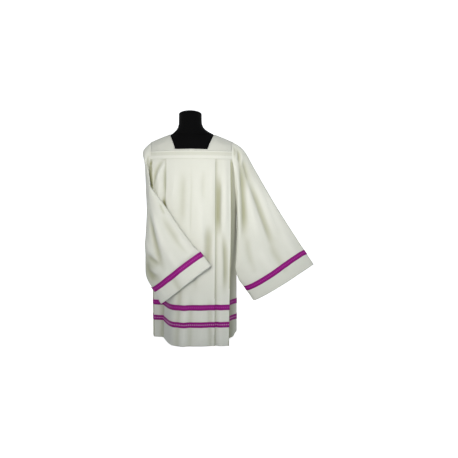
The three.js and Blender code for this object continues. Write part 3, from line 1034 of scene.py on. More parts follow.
@dataclass(frozen=True)
class PaleFloor:
    """A plain pale studio floor that gives off light, more of it towards its edges.

    Attributes:
        name: The material's name.
        colour: The floor's colour.
        near_glow: Light that it gives off round the stand.
        far_glow: Light that it gives off at its edges.
        glow_from: Distance from the stand at which the light starts to grow, in metres.
        glow_over: The way over which it grows, in metres.
    """

    name: str = "pale_floor"
    colour: RGB = (0.9, 0.9, 0.9)
    near_glow: float = 0.80
    far_glow: float = 0.95
    glow_from: float = 0.4
    glow_over: float = 2.4

    def material(self) -> bpy.types.Material:
        """Makes the material.

        Returns:
            The finish, ready for its pieces.
        """
        g = Graph(self.name)
        place = g.object_place()
        cloud = g.noise(place, 3.0, 2.0)
        away = g.add("ShaderNodeVectorMath", {"operation": "LENGTH"}, {0: place}, "Value")
        share = ((away - self.glow_from) / self.glow_over).within()
        near, far = (self.near_glow,) * 3, (self.far_glow,) * 3
        return g.surface(
            {
                "Base Color": g.blend(cloud * 0.15, self.colour, shaded(self.colour, 0.94)),
                "Roughness": 0.75 + cloud * 0.1,
                "Specular IOR Level": 0.2,
                "Emission Color": g.blend(share, near, far),
                "Emission Strength": 1.0,
            }
        )


# ---------------------------------------------------------------- the yoke, its binding and the chest band


NECK_Z = {Side.FRONT: 872.0, Side.BACK: 902.0}  # height of the neckline's straight lower edge
# Slight pulls from the neckline's corners to the armholes.
YOKE_PULLS = (
    Crease(((106, 905), (136, 893), (168, 884)), 1.6, 9, 0.2),
    Crease(((112, 921), (146, 914), (176, 903)), -1.2, 8, 0.1),
    Crease(((-104, 903), (-138, 895), (-170, 880)), 1.4, 8, -0.2),
    Crease(((-110, 925), (-148, 912), (-178, 906)), -1.1, 9, 0.1),
)
# The binding's points: how far out from the neckline, and how far off the yoke.
BINDING_PROFILE = ((6.6, 1.1), (6.1, 1.35), (3.6, 1.5), (1.2, 1.5), (0.1, 1.35), (-0.6, 0.9), (-0.8, 0.3))
# The chest band's points: height, how far off the shoulders' line, and painted shade, negative for a
# painted highlight.
BAND_PROFILE = (
    (865.6, 0.2, 0.0), (864.4, 0.85, -0.3), (862.6, 0.95, -0.3), (860.6, 0.85, -0.1), (859.0, 0.2, 0.16),
    (856, 0.1, 0.16), (852, 0.05, 0.14), (848, 0.1, 0.14), (845.4, 0.3, 0.12), (843.6, 1.1, -0.3),
    (841, 1.5, -0.3), (837, 1.75, -0.25), (833, 1.85, -0.2), (829.6, 1.8, 0.0), (828.2, 1.5, 0.1),
)


@dataclass
class Yoke:
    """The shoulders of one face of the garment, with the neckline's binding and the chest band.

    Attributes:
        side: Front or back.
        neck_z: Height of the neckline's straight lower edge.
        rows: Rows of the mesh from the neckline to the armhole.
        corner_steps: Columns from the shoulder seam to the neckline's corner.
        front_steps: Columns from that corner to the middle.
        band_steps: Columns of the chest band.
        unrest: Height of the yoke's slow waves.
        edge_rows: Rows and columns over which its relief fades out at its edges.
        band_spread: How much wider the band gets for each millimetre below the seam.
        band_lean: How much further out it stands for each of them.
        gather: Height of the band's gathers.
        gather_pitch: The way across the band over which a gather's wave turns by a radian.
    """

    side: Side
    neck_z: float
    rows: int = 18
    corner_steps: int = 30
    front_steps: int = 24
    band_steps: int = 120
    unrest: float = 0.35
    edge_rows: int = 6
    band_spread: float = 0.2
    band_lean: float = 0.21
    gather: float = 0.12
    gather_pitch: float = 2.3

    def edges(self) -> tuple[np.ndarray, np.ndarray]:
        """Lays out the yoke's two long edges.

        Returns:
            The neckline and the outer edge, each as x and angle over the shoulder in columns.
        """
        neck_angle = float(angle_at(NECK_BOTTOM_HALF, self.neck_z))
        outer_angle = float(angle_at(ARMHOLE_X - ARMHOLE_TUCK, BAND_TOP_Z + BAND_GAP))
        t = np.linspace(0, 1, self.corner_steps + 1)
        angle = t * neck_angle
        share = (1 - np.cos(angle)) / (1 - math.cos(neck_angle))
        inner = np.stack([lerp(NECK_TOP_HALF, NECK_BOTTOM_HALF, share), angle], -1)
        outer = np.stack([armhole_x(t * outer_angle), t * outer_angle], -1)
        s = np.linspace(1, 0, self.front_steps + 1)[1:]
        in_x, out_x = NECK_BOTTOM_HALF * s, outer[-1, 0] * s
        inner = np.concatenate([inner, np.stack([in_x, angle_at(in_x, self.neck_z)], -1)])
        outer = np.concatenate([outer, np.stack([out_x, angle_at(out_x, BAND_TOP_Z + BAND_GAP)], -1)])
        inner, outer = (np.concatenate([e, e[-2::-1] * [-1, 1]]) for e in (inner, outer))
        share = (np.clip(inner[:, 0] / NECK_BOTTOM_HALF, -1, 1) + 1) / 2
        inner[:, 0] += lerp(*NECK_SHIFT, share)
        return inner, outer

    def surface(self, shares: np.ndarray) -> np.ndarray:
        """Points of the shoulders that the yoke covers.

        Args:
            shares: Rows of places between the neckline, 0, and the outer edge, 1, for each column.

        Returns:
            The points.
        """
        inner, outer = self.edges()
        mixed = inner + (outer - inner) * shares[..., None]
        return shoulder(mixed[..., 0], mixed[..., 1], self.side)

    def cloth(self) -> ClothGrid:
        """The yoke itself, with slight pulls from the neckline's corners to the armholes.

        Returns:
            Its middle, from the neckline outwards.
        """
        columns = len(self.edges()[0])
        shares = np.linspace(0, 1, self.rows)[:, None] * np.ones(columns)
        grid = ClothGrid(self.surface(shares), from_last_row=False)
        x, z = grid.points[..., 0], grid.points[..., 2]
        rise = creased_by(YOKE_PULLS, x, z) + undulation(x, z, self.unrest, 0.4 * self.side.value)
        edge = ease_both(np.minimum(shares, 1 - shares) * self.edge_rows)
        return grid.moved(
            grid.normals() * self.side.value, rise * edge * fade_from_ends(columns, self.edge_rows)
        )

    def binding(self) -> ClothGrid:
        """The tape: flat on the yoke beside the neckline and turned over its edge.

        Returns:
            Its middle, from its outer edge inwards.
        """
        columns, share = len(self.edges()[0]), 0.3
        near, far = self.surface(np.zeros(columns)), self.surface(np.full(columns, share))
        step = share / np.linalg.norm(far - near, axis=-1)
        base = ClothGrid(self.surface(np.array([out * step for out, _ in BINDING_PROFILE])))
        lift = np.array([up for _, up in BINDING_PROFILE])[:, None] * np.ones(columns)
        return base.moved(base.normals() * self.side.value, lift)

    def chest_band(self) -> ClothGrid:
        """The stitched strip: a welt, a sunk gathered strip and a wider welt over the body's edge.

        Returns:
            Its middle, from its upper edge down.
        """
        across = -np.sin((np.linspace(0, 1, self.band_steps + 1) - 0.5) * math.pi)
        rows = []
        for z, _, _ in BAND_PROFILE:
            below = max(0.0, BAND_BOTTOM_Z - z)
            x = across * (ARMHOLE_X - ARMHOLE_TUCK + self.band_spread * below)
            row = shoulder(x, angle_at(x, max(z, BAND_BOTTOM_Z)), self.side)
            rows.append(row + [0.0, self.side.value * self.band_lean * below, -below])
        # painted shade on the sunk gathered strip and painted highlights along the welts
        _, lift, folds = (column[:, None] for column in np.array(BAND_PROFILE).T)
        grid = ClothGrid(np.stack(rows), from_last_row=False, folds=folds * np.ones(self.band_steps + 1))
        gathers = self.gather * np.sin(grid.points[..., 0] / self.gather_pitch)
        return grid.moved(grid.normals() * self.side.value, lift + gathers)

    def build(
        self, cloth: bpy.types.Material, tape: bpy.types.Material, band: bpy.types.Material
    ) -> None:
        """Makes the three pieces.

        Args:
            cloth: Finish of the yoke.
            tape: Finish of the binding.
            band: Finish of the chest band.
        """
        word = self.side.word
        area = 0.0228 if self.side is Side.FRONT else 0.0275
        Piece(
            f"{word}_yoke", f"yoke_{word}", "ivory_cloth", (0.38, 0.16), Held.DRAPED,
            ("dress_form",), area=area,
        ).make(self.cloth(), cloth)
        Piece(
            f"{word}_neck_binding", f"neck_binding_{word}", "white_trim", (0.31, 0.01), Held.FOLDED,
            (f"{word}_yoke",), thickness=0.6,
        ).make(self.binding(), tape)
        Piece(
            f"{word}_chest_band", f"chest_band_{word}", "ivory_cloth", (0.42, 0.04), Held.GATHERED,
            (f"{word}_yoke", "dress_form"), thickness=1.2,
        ).make(self.chest_band(), band)


# ---------------------------------------------------------------- the pleated body


@dataclass(frozen=True)
class Station:
    """A place across a body panel, at the chest band, the underarm and the hem.

    Attributes:
        top: x at the chest band, unless a share is given.
        mid: x and y at the underarm.
        hem: x and y at the hem.
        fold: Width of cloth tucked back under the edge here.
        share: Beyond the outer pleat, how far the place lies from the pleat to the armhole.
    """

    top: float
    mid: tuple[float, float]
    hem: tuple[float, float]
    fold: float = 0.0
    share: float = 0.0


BAND_PLACES = (0, 36, 74, 109, 144, 176, 0, 0)  # of a half panel's stations, from the middle outwards
INNER_PLEAT, OUTER_PLEAT = 3, 5  # the stations with a pleat
INNER_FOLD = 24
SIDE_SHARES = {6: 0.34, 7: 0.67}
PLEAT_SHADE = {  # depth and reach of the painted shadow beside each pleat
    INNER_PLEAT: (0.34, 9.0),
    OUTER_PLEAT: (0.62, 26.0),
}
EDGE_PAINTED_HIGHLIGHT = 0.25  # painted highlight along a pleat's edge: how light it is, and how far from the edge it starts and ends
EDGE_HIGHLIGHT_GAP = 0.4
EDGE_HIGHLIGHT_REACH = 9.0
WAVES_PAINTED_SHADE = 0.6  # share of the slow waves that shows as painted light and shade
BACK_PAINTED_SHADE = 0.6  # share of the creases' painted light and shade that the back keeps


def stations(hand: Hand, outer_fold: float, places: Sequence[tuple[float, ...]]) -> tuple[Station, ...]:
    """Puts the stations of half a panel together.

    Args:
        hand: Which half.
        outer_fold: Width of cloth tucked back under the outer pleat.
        places: x and y at the underarm and x and y at the hem, from the middle outwards.

    Returns:
        The stations.
    """
    folds = {INNER_PLEAT: INNER_FOLD, OUTER_PLEAT: outer_fold}
    tops = [hand.value * top for top in BAND_PLACES]
    return tuple(
        Station(tops[k], place[:2], place[2:], folds.get(k, 0.0), SIDE_SHARES.get(k, 0.0))
        for k, place in enumerate(places)
    )


FRONT_RIGHT = stations(
    Hand.RIGHT,
    20,
    (
        (0, -126, -5, -140), (36, -126, 30, -137), (74, -123, 68, -135), (110, -118, 104, -131),
        (146, -114, 136, -130), (178, -103, 167, -127), (191, -62, 158, -40), (200, -28, 177, 24),
    ),
)
FRONT_LEFT = stations(
    Hand.LEFT,
    18,
    (
        (0, -126, -5, -140), (-36, -127, -57, -138), (-74, -123, -96, -98), (-110, -114, -136, 16),
        (-142, -107, -159, 37), (-170, -96, -184, 45), (-177, -60, -187, 60), (-182, -28, -191, 68),
    ),
)
BACK_RIGHT = stations(
    Hand.RIGHT,
    18,
    (
        (0, 112, 0, 121), (36, 113, 38, 122), (74, 108, 76, 119), (110, 102, 112, 118),
        (146, 96, 150, 114), (178, 82, 186, 110), (190, 54, 200, 98), (199, 28, 205, 84),
    ),
)
BACK_LEFT = stations(
    Hand.LEFT,
    18,
    (
        (0, 112, 0, 121), (-36, 113, -38, 120), (-74, 108, -74, 121), (-110, 102, -110, 116),
        (-142, 96, -142, 114), (-170, 82, -171, 110), (-178, 54, -188, 98), (-183, 28, -193, 84),
    ),
)
SIDE_SEAM_HEM = {Hand.RIGHT: (205.0, 64.0), Hand.LEFT: (-193.0, 77.0)}
PANEL_ROWS = (  # a height, and the rows from there to the next one
    (BAND_BOTTOM_Z - SEAM_GAP, 3), (800, 4), (760, 6), (700, 5), (645, 6), (UNDERARM_Z, 14), (500, 16),
    (380, 16), (260, 10), (UPPER_RIBBON_Z + RIBBON_WIDTH, 4), (UPPER_RIBBON_Z, 6),
    (LOWER_RIBBON_Z + RIBBON_WIDTH, 4), (LOWER_RIBBON_Z, 10), (16, 2), (HEM_Z, 0),
)

# Troughs and ridges of the front, beside the pleats, down the middle, under the band and at the hem.
FRONT_CREASES = (
    Crease(((2, 826), (3, 700), (0, 560), (-2, 440)), -2.6, 5, 0.3),
    Crease(((-30, 790), (-34, 650), (-38, 520)), -4.0, 15),
    Crease(((74, 556), (78, 480), (74, 400), (66, 310)), -8.5, 21, -0.2),
    Crease(((40, 720), (48, 560), (54, 420), (58, 300)), 4.5, 18, -0.2),
    Crease(((100, 520), (101, 400), (99, 270)), 3.0, 7),
    Crease(((124, 780), (126, 690), (124, 560), (131, 470)), -10.5, 12, -0.3),
    Crease(((151, 810), (153, 650), (150, 480)), 3.8, 9, 0.0, (0.3, 0)),
    Crease(((95, 818), (93, 700), (92, 600)), 2.4, 9, 0.1, (0.4, 0)),
    Crease(((-118, 832), (-138, 806), (-156, 776), (-166, 738), (-168, 700)), -7.5, 9, 0.2, (0.3, 0.2)),
    Crease(((-110, 822), (-135, 778), (-157, 712)), 5.5, 8, 0.0, (0.3, 0)),
    Crease(((-116, 792), (-115, 740), (-113, 668)), -4.6, 6),
    Crease(((-122, 658), (-116, 632), (-108, 600)), -15.0, 5, 0.0, (0.2, 1)),
    Crease(((-134, 740), (-140, 700), (-144, 660)), 3.4, 8),
    Crease(((-150, 832), (-166, 812), (-172, 790)), 3.0, 6, 0.0, (0.3, 0)),
    Crease(((-182, 822), (-181, 802)), -5.0, 4),
    Crease(((-188, 800), (-184, 750), (-179, 724), (-170, 702), (-150, 676)), -6.0, 4, 0.0, (0.3, 0.6)),
    Crease(((168, 858), (176, 842), (180, 826)), -5.0, 4, 0.0, (0.3, 0.3)),
    Crease(((-62, 4), (-58, 90), (-50, 220), (-46, 330)), -5.0, 13, 0.1, (1, 0)),
    Crease(((-32, 4), (-27, 120), (-22, 260)), 4.2, 10, 0.0, (1, 0)),
    Crease(((-3, 4), (0, 110), (4, 230)), -3.6, 12, 0.2, (1, 0)),
    Crease(((46, 4), (44, 130), (40, 260)), 3.2, 14, 0.0, (1, 0)),
    Crease(((86, 4), (84, 120), (80, 230)), -4.2, 11, -0.2, (1, 0)),
    Crease(((60, 800), (54, 700), (58, 620)), -2.4, 11),
    Crease(((-70, 800), (-72, 720), (-84, 640)), 2.8, 10),
    Crease(((128, 4), (130, 120), (134, 260)), 2.8, 9, 0.0, (1, 0)),
    Crease(((140, 520), (150, 430), (153, 330), (148, 220)), -9.5, 12, 0.1),
    Crease(((12, 420), (16, 330), (22, 240)), -3.6, 12),
    Crease(((-149, 4), (-147, 90), (-138, 220)), -6.0, 9, 0.0, (1, 0)),
)
BACK_CREASES = (
    Crease(((4, 828), (2, 690), (8, 540), (6, 400)), 3.6, 8, -0.2),
    Crease(((24, 820), (30, 660), (34, 500)), -4.0, 13, 0.0, (0.3, 0)),
    Crease(((-46, 826), (-58, 640), (-66, 480), (-60, 300)), -6.0, 17, 0.2, (0.3, 0)),
    Crease(((-28, 700), (-34, 540), (-38, 380)), 4.0, 12),
    Crease(((88, 810), (92, 650), (84, 500)), 4.4, 12, 0.2, (0.3, 0)),
    Crease(((128, 826), (132, 660), (130, 420)), -5.6, 12, -0.1, (0.5, 0)),
    Crease(((-130, 826), (-134, 670), (-128, 460)), -5.2, 12, 0.1, (0.5, 0)),
    Crease(((-88, 4), (-84, 120), (-76, 280)), 4.6, 12, 0.0, (1, 0)),
    Crease(((-30, 4), (-28, 130), (-20, 300)), -4.6, 12, 0.1, (1, 0)),
    Crease(((18, 4), (22, 110), (30, 240)), 4.0, 11, 0.0, (1, 0)),
    Crease(((64, 4), (60, 140), (58, 330)), -5.4, 14, 0.2, (1, 0)),
    Crease(((150, 4), (148, 120), (146, 260)), 3.0, 10, 0.0, (1, 0)),
    Crease(((-140, 4), (-146, 130), (-142, 250)), -3.4, 10, 0.0, (1, 0)),
    Crease(((-10, 520), (-8, 400), (-2, 300)), -4.0, 13),
    Crease(((60, 700), (64, 560), (56, 420)), -3.6, 12),
)


@dataclass
class BodyPanel:
    """One hanging panel with four knife pleats, and the ribbons that follow it.

    Attributes:
        side: Front or back.
        right: The stations from the middle to the right hand seam.
        left: The stations from the middle to the left hand seam.
        creases: The troughs and ridges that are laid over it.
        per_stretch: Mesh steps from one station to the next.
        turn_steps: Mesh steps round each bend of a pleat.
        fold_steps: Mesh steps along each layer of a pleat.
        under: Gap from a pleat's top layer to the next, at the chest band and at the hem.
        beneath: Gap from that layer to the lowest.
        bulge: How far a pleat's bends swell, as a share of the gap.
        sideways: How far out from the side an edge has to look before its x tells which way is out.
        unrest: Height of the panel's slow waves.
        edge_columns: Columns over which its relief grows from the seams inwards.
        below_band: The way down from the chest band over which it grows.
        armholes: The seams with the two sleeves.
    """

    side: Side
    right: tuple[Station, ...]
    left: tuple[Station, ...]
    creases: tuple[Crease, ...]
    per_stretch: int = 8
    turn_steps: int = 5
    fold_steps: int = 5
    under: tuple[float, float] = (2.6, 4)
    beneath: tuple[float, float] = (2.8, 6)
    bulge: float = 0.6
    sideways: float = 0.7
    unrest: float = 0.8
    edge_columns: int = 12
    below_band: float = 26.0
    armholes: dict[Hand, Armhole] = field(default_factory=lambda: {hand: Armhole(hand) for hand in Hand})

    @staticmethod
    def heights() -> np.ndarray:
        """The rows' heights, with one at each edge of each ribbon.

        Returns:
            The heights, from the chest band down.
        """
        out = [
            lerp(z, PANEL_ROWS[k + 1][0], step / count)
            for k, (z, count) in enumerate(PANEL_ROWS[:-1])
            for step in range(count)
        ]
        return np.array([*out, HEM_Z])

    @staticmethod
    def lower_place(station: Station, z: float) -> np.ndarray:
        """A station's x and y at height z below the underarm."""
        t = ease_both((UNDERARM_Z - z) / (UNDERARM_Z - HEM_Z))
        return lerp(np.array(station.mid, float), np.array(station.hem, float), t)

    def place(self, station: Station, z: float) -> np.ndarray:
        """A station's place, which follows the chest's curve at the band.

        Args:
            station: The station.
            z: The height.

        Returns:
            Its x and y.
        """
        if z < UNDERARM_Z:
            return self.lower_place(station, z)
        t = float(np.clip((BAND_BOTTOM_Z - z) / (BAND_BOTTOM_Z - UNDERARM_Z), 0, 1))
        top_y = self.side.value * (float(chest_at(station.top)) + SEAM_HALF)
        mid_x, mid_y = station.mid
        return np.array([lerp(station.top, mid_x, t), lerp(top_y, mid_y, float(ease_out(t)))])

    def edge(self, hand: Hand, z: float) -> np.ndarray:
        """The panel's edge: the armhole, then the side seam.

        Args:
            hand: Which edge.
            z: The height.

        Returns:
            Its x and y.
        """
        if z >= UNDERARM_Z:
            x, depth = self.armholes[hand].edge(z)
            return np.array([x, self.side.value * (depth + SEAM_HALF)])
        t = float(ease_both((UNDERARM_Z - z) / (UNDERARM_Z - HEM_Z)))
        under_x = self.armholes[hand].edge(UNDERARM_Z)[0]
        hem_x, hem_y = SIDE_SEAM_HEM[hand]
        return np.array([lerp(under_x, hem_x, t), lerp(0, hem_y, t) + self.side.value * SIDE_SEAM_HALF])

    def side_place(self, station: Station, pleat: Station, hand: Hand, z: float) -> np.ndarray:
        """The place of a station beyond the outer pleat.

        Args:
            station: The station.
            pleat: The station of the outer pleat.
            hand: On which side.
            z: The height.

        Returns:
            Its x and y.
        """
        if z < UNDERARM_Z:
            return self.lower_place(station, z)
        between = lambda height: lerp(self.place(pleat, height), self.edge(hand, height), station.share)
        t = float(np.clip((BAND_BOTTOM_Z - z) / (BAND_BOTTOM_Z - UNDERARM_Z), 0, 1))
        return between(z) + (np.array(station.mid, float) - between(UNDERARM_Z)) * t**2

    def half_section(self, hand: Hand, z: float) -> tuple[np.ndarray, np.ndarray]:
        """Half of a section from the middle to the seam.

        Args:
            hand: Which half.
            z: The section's height.

        Returns:
            The section's x and y, and at each point the way out of the garment.
        """
        here, other = (self.right, self.left) if hand is Hand.RIGHT else (self.left, self.right)
        pleat = here[OUTER_PLEAT]
        line = [self.side_place(s, pleat, hand, z) if s.share else self.place(s, z) for s in here]
        line.append(self.edge(hand, z))
        t = (BAND_BOTTOM_Z - z) / (BAND_BOTTOM_Z - HEM_Z)
        under, beneath = lerp(*self.under, t), lerp(*self.beneath, t)
        points: list[np.ndarray] = []
        ways: list[np.ndarray] = []
        run = [line[0]]
        before: np.ndarray | None = self.place(other[1], z)
        for k in range(1, len(line)):
            run.append(line[k])
            fold = here[k].fold if k < len(here) else 0.0
            if not fold and k < len(line) - 1:
                continue
            stretch = smooth_line(np.array(run), self.per_stretch, before)
            along = unit(np.gradient(stretch, axis=0))
            out = np.stack([along[:, 1], -along[:, 0]], -1)
            out *= np.where(out[:, 1] * self.side.value < 0, -1, 1)[:, None]
            if k == len(line) - 1 and abs(out[-1, 0]) > self.sideways:
                out *= np.where(out[:, 0] * hand.value < 0, -1, 1)[:, None]
            skip = 1 if len(points) else 0
            points.extend(stretch[skip:])
            ways.extend(out[skip:])
            if not fold:
                break
            direction = unit(line[k] - line[k - 1])
            inward = np.array([-direction[1], direction[0]])
            inward = -inward if inward[1] * self.side.value > 0 else inward
            for back, deep in self.pleat_profile(fold, under, beneath):
                points.append(line[k] - direction * back + inward * deep)
                ways.append(-inward)
            before, run = None, [points[-1]]
        return np.array(points), np.array(ways)

    def pleat_profile(self, fold: float, under: float, beneath: float) -> list[tuple[float, float]]:
        """A knife pleat from its edge back under itself and out again.

        Args:
            fold: Width of its lower layers.
            under: Gap from the top layer to the next.
            beneath: Gap from that one to the lowest.

        Returns:
            Its points, as distances back from its edge and into the garment.
        """
        turn = np.linspace(0, math.pi, self.turn_steps + 2)[1:]
        steps = range(1, self.fold_steps + 1)
        out = [(-self.bulge * under * math.sin(a), under / 2 * (1 - math.cos(a))) for a in turn]
        out += [(fold * s / self.fold_steps, under) for s in steps]
        out += [
            (fold + self.bulge * beneath * math.sin(a), under + beneath / 2 * (1 - math.cos(a)))
            for a in turn
        ]
        out += [(fold * (1 - s / self.fold_steps), under + beneath) for s in steps]
        return out

    def cloth(self) -> ClothGrid:
        """The whole panel with its creases.

        Returns:
            Its middle, in columns from the right hand seam round to the left.
        """
        rows, ways = [], []
        for z in self.heights():
            right, out_right = self.half_section(Hand.RIGHT, z)
            left, out_left = self.half_section(Hand.LEFT, z)
            section = np.concatenate([right[::-1], left[1:]])
            rows.append(np.column_stack([section, np.full(len(section), z)]))
            way = np.concatenate([out_right[::-1], out_left[1:]])
            ways.append(np.column_stack([way, np.zeros(len(way))]))
        grid = ClothGrid(np.array(rows))
        x, z = grid.points[..., 0], grid.points[..., 2].copy()
        sideways = ease_both((x - CORNER_FROM_X) / CORNER_REACH_X)
        grid.points[..., 2] += CORNER_RISE * sideways * ease_both((CORNER_TOP_Z - z) / CORNER_TOP_Z)
        edge = fade_from_ends(x.shape[1], self.edge_columns)
        top = ease_both((BAND_BOTTOM_Z - z) / self.below_band)
        creased = creased_by(self.creases, x, z)
        waves = undulation(x, z, self.unrest, 1.3 * self.side.value)
        # painted shade in the creases' troughs and beside the pleats, painted highlights on ridges and
        # pleat edges, weaker on the back
        painted_share = 1.0 if self.side is Side.FRONT else BACK_PAINTED_SHADE
        grid.folds = painted_share * painted_fold_shade(creased * top + WAVES_PAINTED_SHADE * waves)
        grid.folds += self.pleat_shade(x, z) * top
        return grid.moved(np.array(ways), (creased + waves) * edge * top)

    def pleat_shade(self, x: np.ndarray, z: np.ndarray) -> np.ndarray:
        """The painted shadow in the step beside each pleat's edge, and the painted highlight along the
        edge.

        Args:
            x: The points' x.
            z: Their z.

        Returns:
            The painted shade at each point, from 0, and below 0 for the painted highlight.
        """
        shade = np.zeros_like(x)
        heights = [HEM_Z, UNDERARM_Z, BAND_BOTTOM_Z]
        for half in (self.right, self.left):
            for place, (depth, reach) in PLEAT_SHADE.items():
                pleat = half[place]
                edge = np.interp(z[:, 0], heights, [pleat.hem[0], pleat.mid[0], pleat.top])
                out = (x - edge[:, None]) * np.sign(pleat.top)
                step = depth * np.exp(-((np.maximum(out, 0) / reach) ** 2))
                shade += np.where(out > -EDGE_HIGHLIGHT_GAP, step, 0)
                painted_highlight = EDGE_PAINTED_HIGHLIGHT * (1 + out / EDGE_HIGHLIGHT_REACH)
                shade -= np.where((out <= -EDGE_HIGHLIGHT_GAP) & (out > -EDGE_HIGHLIGHT_REACH), painted_highlight, 0)
        return shade

    def build(
        self,
        cloth: bpy.types.Material,
        upper_ribbon: bpy.types.Material,
        lower_ribbon: bpy.types.Material,
    ) -> None:
        """Makes the panel and its two ribbons.

        Args:
            cloth: Finish of the panel.
            upper_ribbon: Finish of the upper ribbon.
            lower_ribbon: Finish of the lower ribbon.
        """
        word = self.side.word
        grid = self.cloth()
        hem_width, cut_area = (0.95, 0.67) if self.side is Side.FRONT else (0.73, 0.58)
        Piece(
            f"{word}_body", f"body_{word}", "ivory_cloth", (hem_width, 0.84), Held.HUNG,
            (f"{word}_chest_band",), area=cut_area,
        ).make(grid, cloth)
        heights = self.heights()
        lifted = grid.moved(grid.normals(), TRIM_LIFT * self.side.value)
        ribbons = (("upper", UPPER_RIBBON_Z, upper_ribbon), ("lower", LOWER_RIBBON_Z, lower_ribbon))
        for level, z, ribbon in ribbons:
            first = int(np.abs(heights - z - RIBBON_WIDTH).argmin())
            last = int(np.abs(heights - z).argmin())
            Piece(
                f"{word}_hem_ribbon_{level}", f"hem_ribbon_{level}_{word}", "purple_ribbon",
                (hem_width, RIBBON_FLAT), Held.DRAPED, (f"{word}_body",), thickness=TRIM_THICKNESS,
            ).make(lifted.rows(first, last), ribbon)


# ---------------------------------------------------------------- the sleeves


@dataclass(frozen=True)
class SleeveSection:
    """The four sides of a section of a sleeve.

    Attributes:
        top: Its top fold.
        front: The middle of its front face.
        low: Its underarm seam.
        back: The middle of its back face.
    """

    top: Place
    front: Place
    low: Place
    back: Place


UPRIGHT_Y = -4.0  # how far forward the held out sleeve's folds lie


def upright_section(top_x: float, top_z: float, low: Place, half: float) -> SleeveSection:
    """A section of the sleeve that is held out.

    Args:
        top_x: x of its top fold.
        top_z: z of its top fold.
        low: Its underarm seam.
        half: Half its thickness.

    Returns:
        The section.
    """
    x, z = (top_x + low[0]) / 2, (top_z + low[2]) / 2
    return SleeveSection(
        (top_x, UPRIGHT_Y, top_z), (x, UPRIGHT_Y - half, z), low, (x, UPRIGHT_Y + half, z)
    )


RIGHT_SECTIONS = (
    upright_section(219, 891, (204.5, -26, 562), 61),
    upright_section(246, 861, (204, -38, 512), 62),
    upright_section(281, 799, (203, -46, 466), 60),
    upright_section(329, 715, (202, -48, 424), 55),
    upright_section(382, 625, (200, -50, 380), 49),
    upright_section(433, 544, (199, -46, 334), 43),
    upright_section(480, 472, (214, -26, 284), 39),
    upright_section(560, 351, (283, -4, 184), 35),
)
LEFT_SECTIONS = (
    SleeveSection((-224, -3, 868), (-195, -86, 744), (-192, -16, 594), (-206, 56, 735)),
    SleeveSection((-216, -10, 812), (-180, -105, 738), (-189, -56, 622), (-205, 30, 704)),
    SleeveSection((-209, -25, 712), (-186, -101, 716), (-178, -104, 719), (-188, -72, 690)),
    SleeveSection((-201, -50, 572), (-188, -110, 642), (-172, -119, 702), (-186, -91, 636)),
    SleeveSection((-202, -76, 420), (-170, -148, 522), (-106, -149, 619), (-166, -121, 520)),
    SleeveSection((-200, -95, 318), (-140, -168, 426), (-45, -165, 530), (-126, -132, 424)),
    SleeveSection((-174, -112, 262), (-86, -182, 356), (20, -175, 445), (-78, -143, 353)),
    SleeveSection((-126, -145, 193), (-22, -196, 282), (90, -184, 368), (-17, -156, 280)),
)

RIGHT_SLEEVE_FRONT = (
    Crease(
        ((216, 850), (225, 778), (232, 690), (236, 590), (235, 490), (230, 446)), -11.5, 15, 0.1, (0.4, 0)
    ),
    Crease(((206, 790), (210, 680), (212, 560), (217, 450)), 3.5, 5),
    Crease(
        ((246, 776), (262, 725), (298, 632), (337, 523), (368, 430), (384, 396)), -9.5, 14, 0.3, (0.1, 0)
    ),
    Crease(((238, 750), (260, 645), (288, 540), (314, 450)), 6.0, 17),
    Crease(((266, 780), (310, 675), (352, 570), (392, 465)), 5.5, 18, -0.1),
    Crease(((230, 842), (243, 792), (260, 722)), -6.0, 8, 0.2),
    Crease(((188, 888), (196, 866), (190, 840)), -7.0, 5, 0.0, (0.4, 0.3)),
    Crease(((184, 842), (192, 806), (202, 772)), 5.0, 5, 0.0, (0.6, 0)),
    Crease(((204, 880), (214, 852), (212, 812)), -6.5, 6, 0.1, (0.4, 0)),
    Crease(((218, 872), (228, 838), (226, 800)), 3.4, 7),
    Crease(((246, 500), (258, 410), (282, 330)), -4.0, 15, 0.0, (0, 0.5)),
    Crease(((300, 440), (330, 380), (370, 312)), 4.6, 17, 0.0, (0, 0.5)),
    Crease(((352, 450), (386, 390), (424, 330)), -4.4, 15, 0.1, (0, 0.6)),
    Crease(((320, 730), (352, 655), (396, 556), (440, 470)), 4.5, 19, 0.1, (0.1, 0.3)),
    Crease(((400, 520), (440, 450), (490, 370)), 3.8, 15, 0.0, (0, 0.6)),
)
RIGHT_SLEEVE_BACK = (
    Crease(((214, 850), (246, 760), (276, 660), (316, 540), (366, 430)), -9.0, 16, -0.2),
    Crease(((246, 830), (286, 730), (330, 620), (370, 520)), 5.6, 17, 0.1),
    Crease(((228, 760), (232, 640), (240, 520)), -8.5, 13, -0.2),
    Crease(((262, 600), (286, 490), (330, 380)), 5.2, 15, 0.1, (0, 0.5)),
    Crease(((340, 660), (400, 540), (466, 430)), -5.6, 15, -0.1, (0.2, 0.4)),
    Crease(((240, 470), (280, 370), (330, 290)), -5.4, 12, 0.0, (0, 0.6)),
    Crease(((380, 520), (420, 440), (470, 360)), 4.0, 15, 0.0, (0, 0.5)),
)
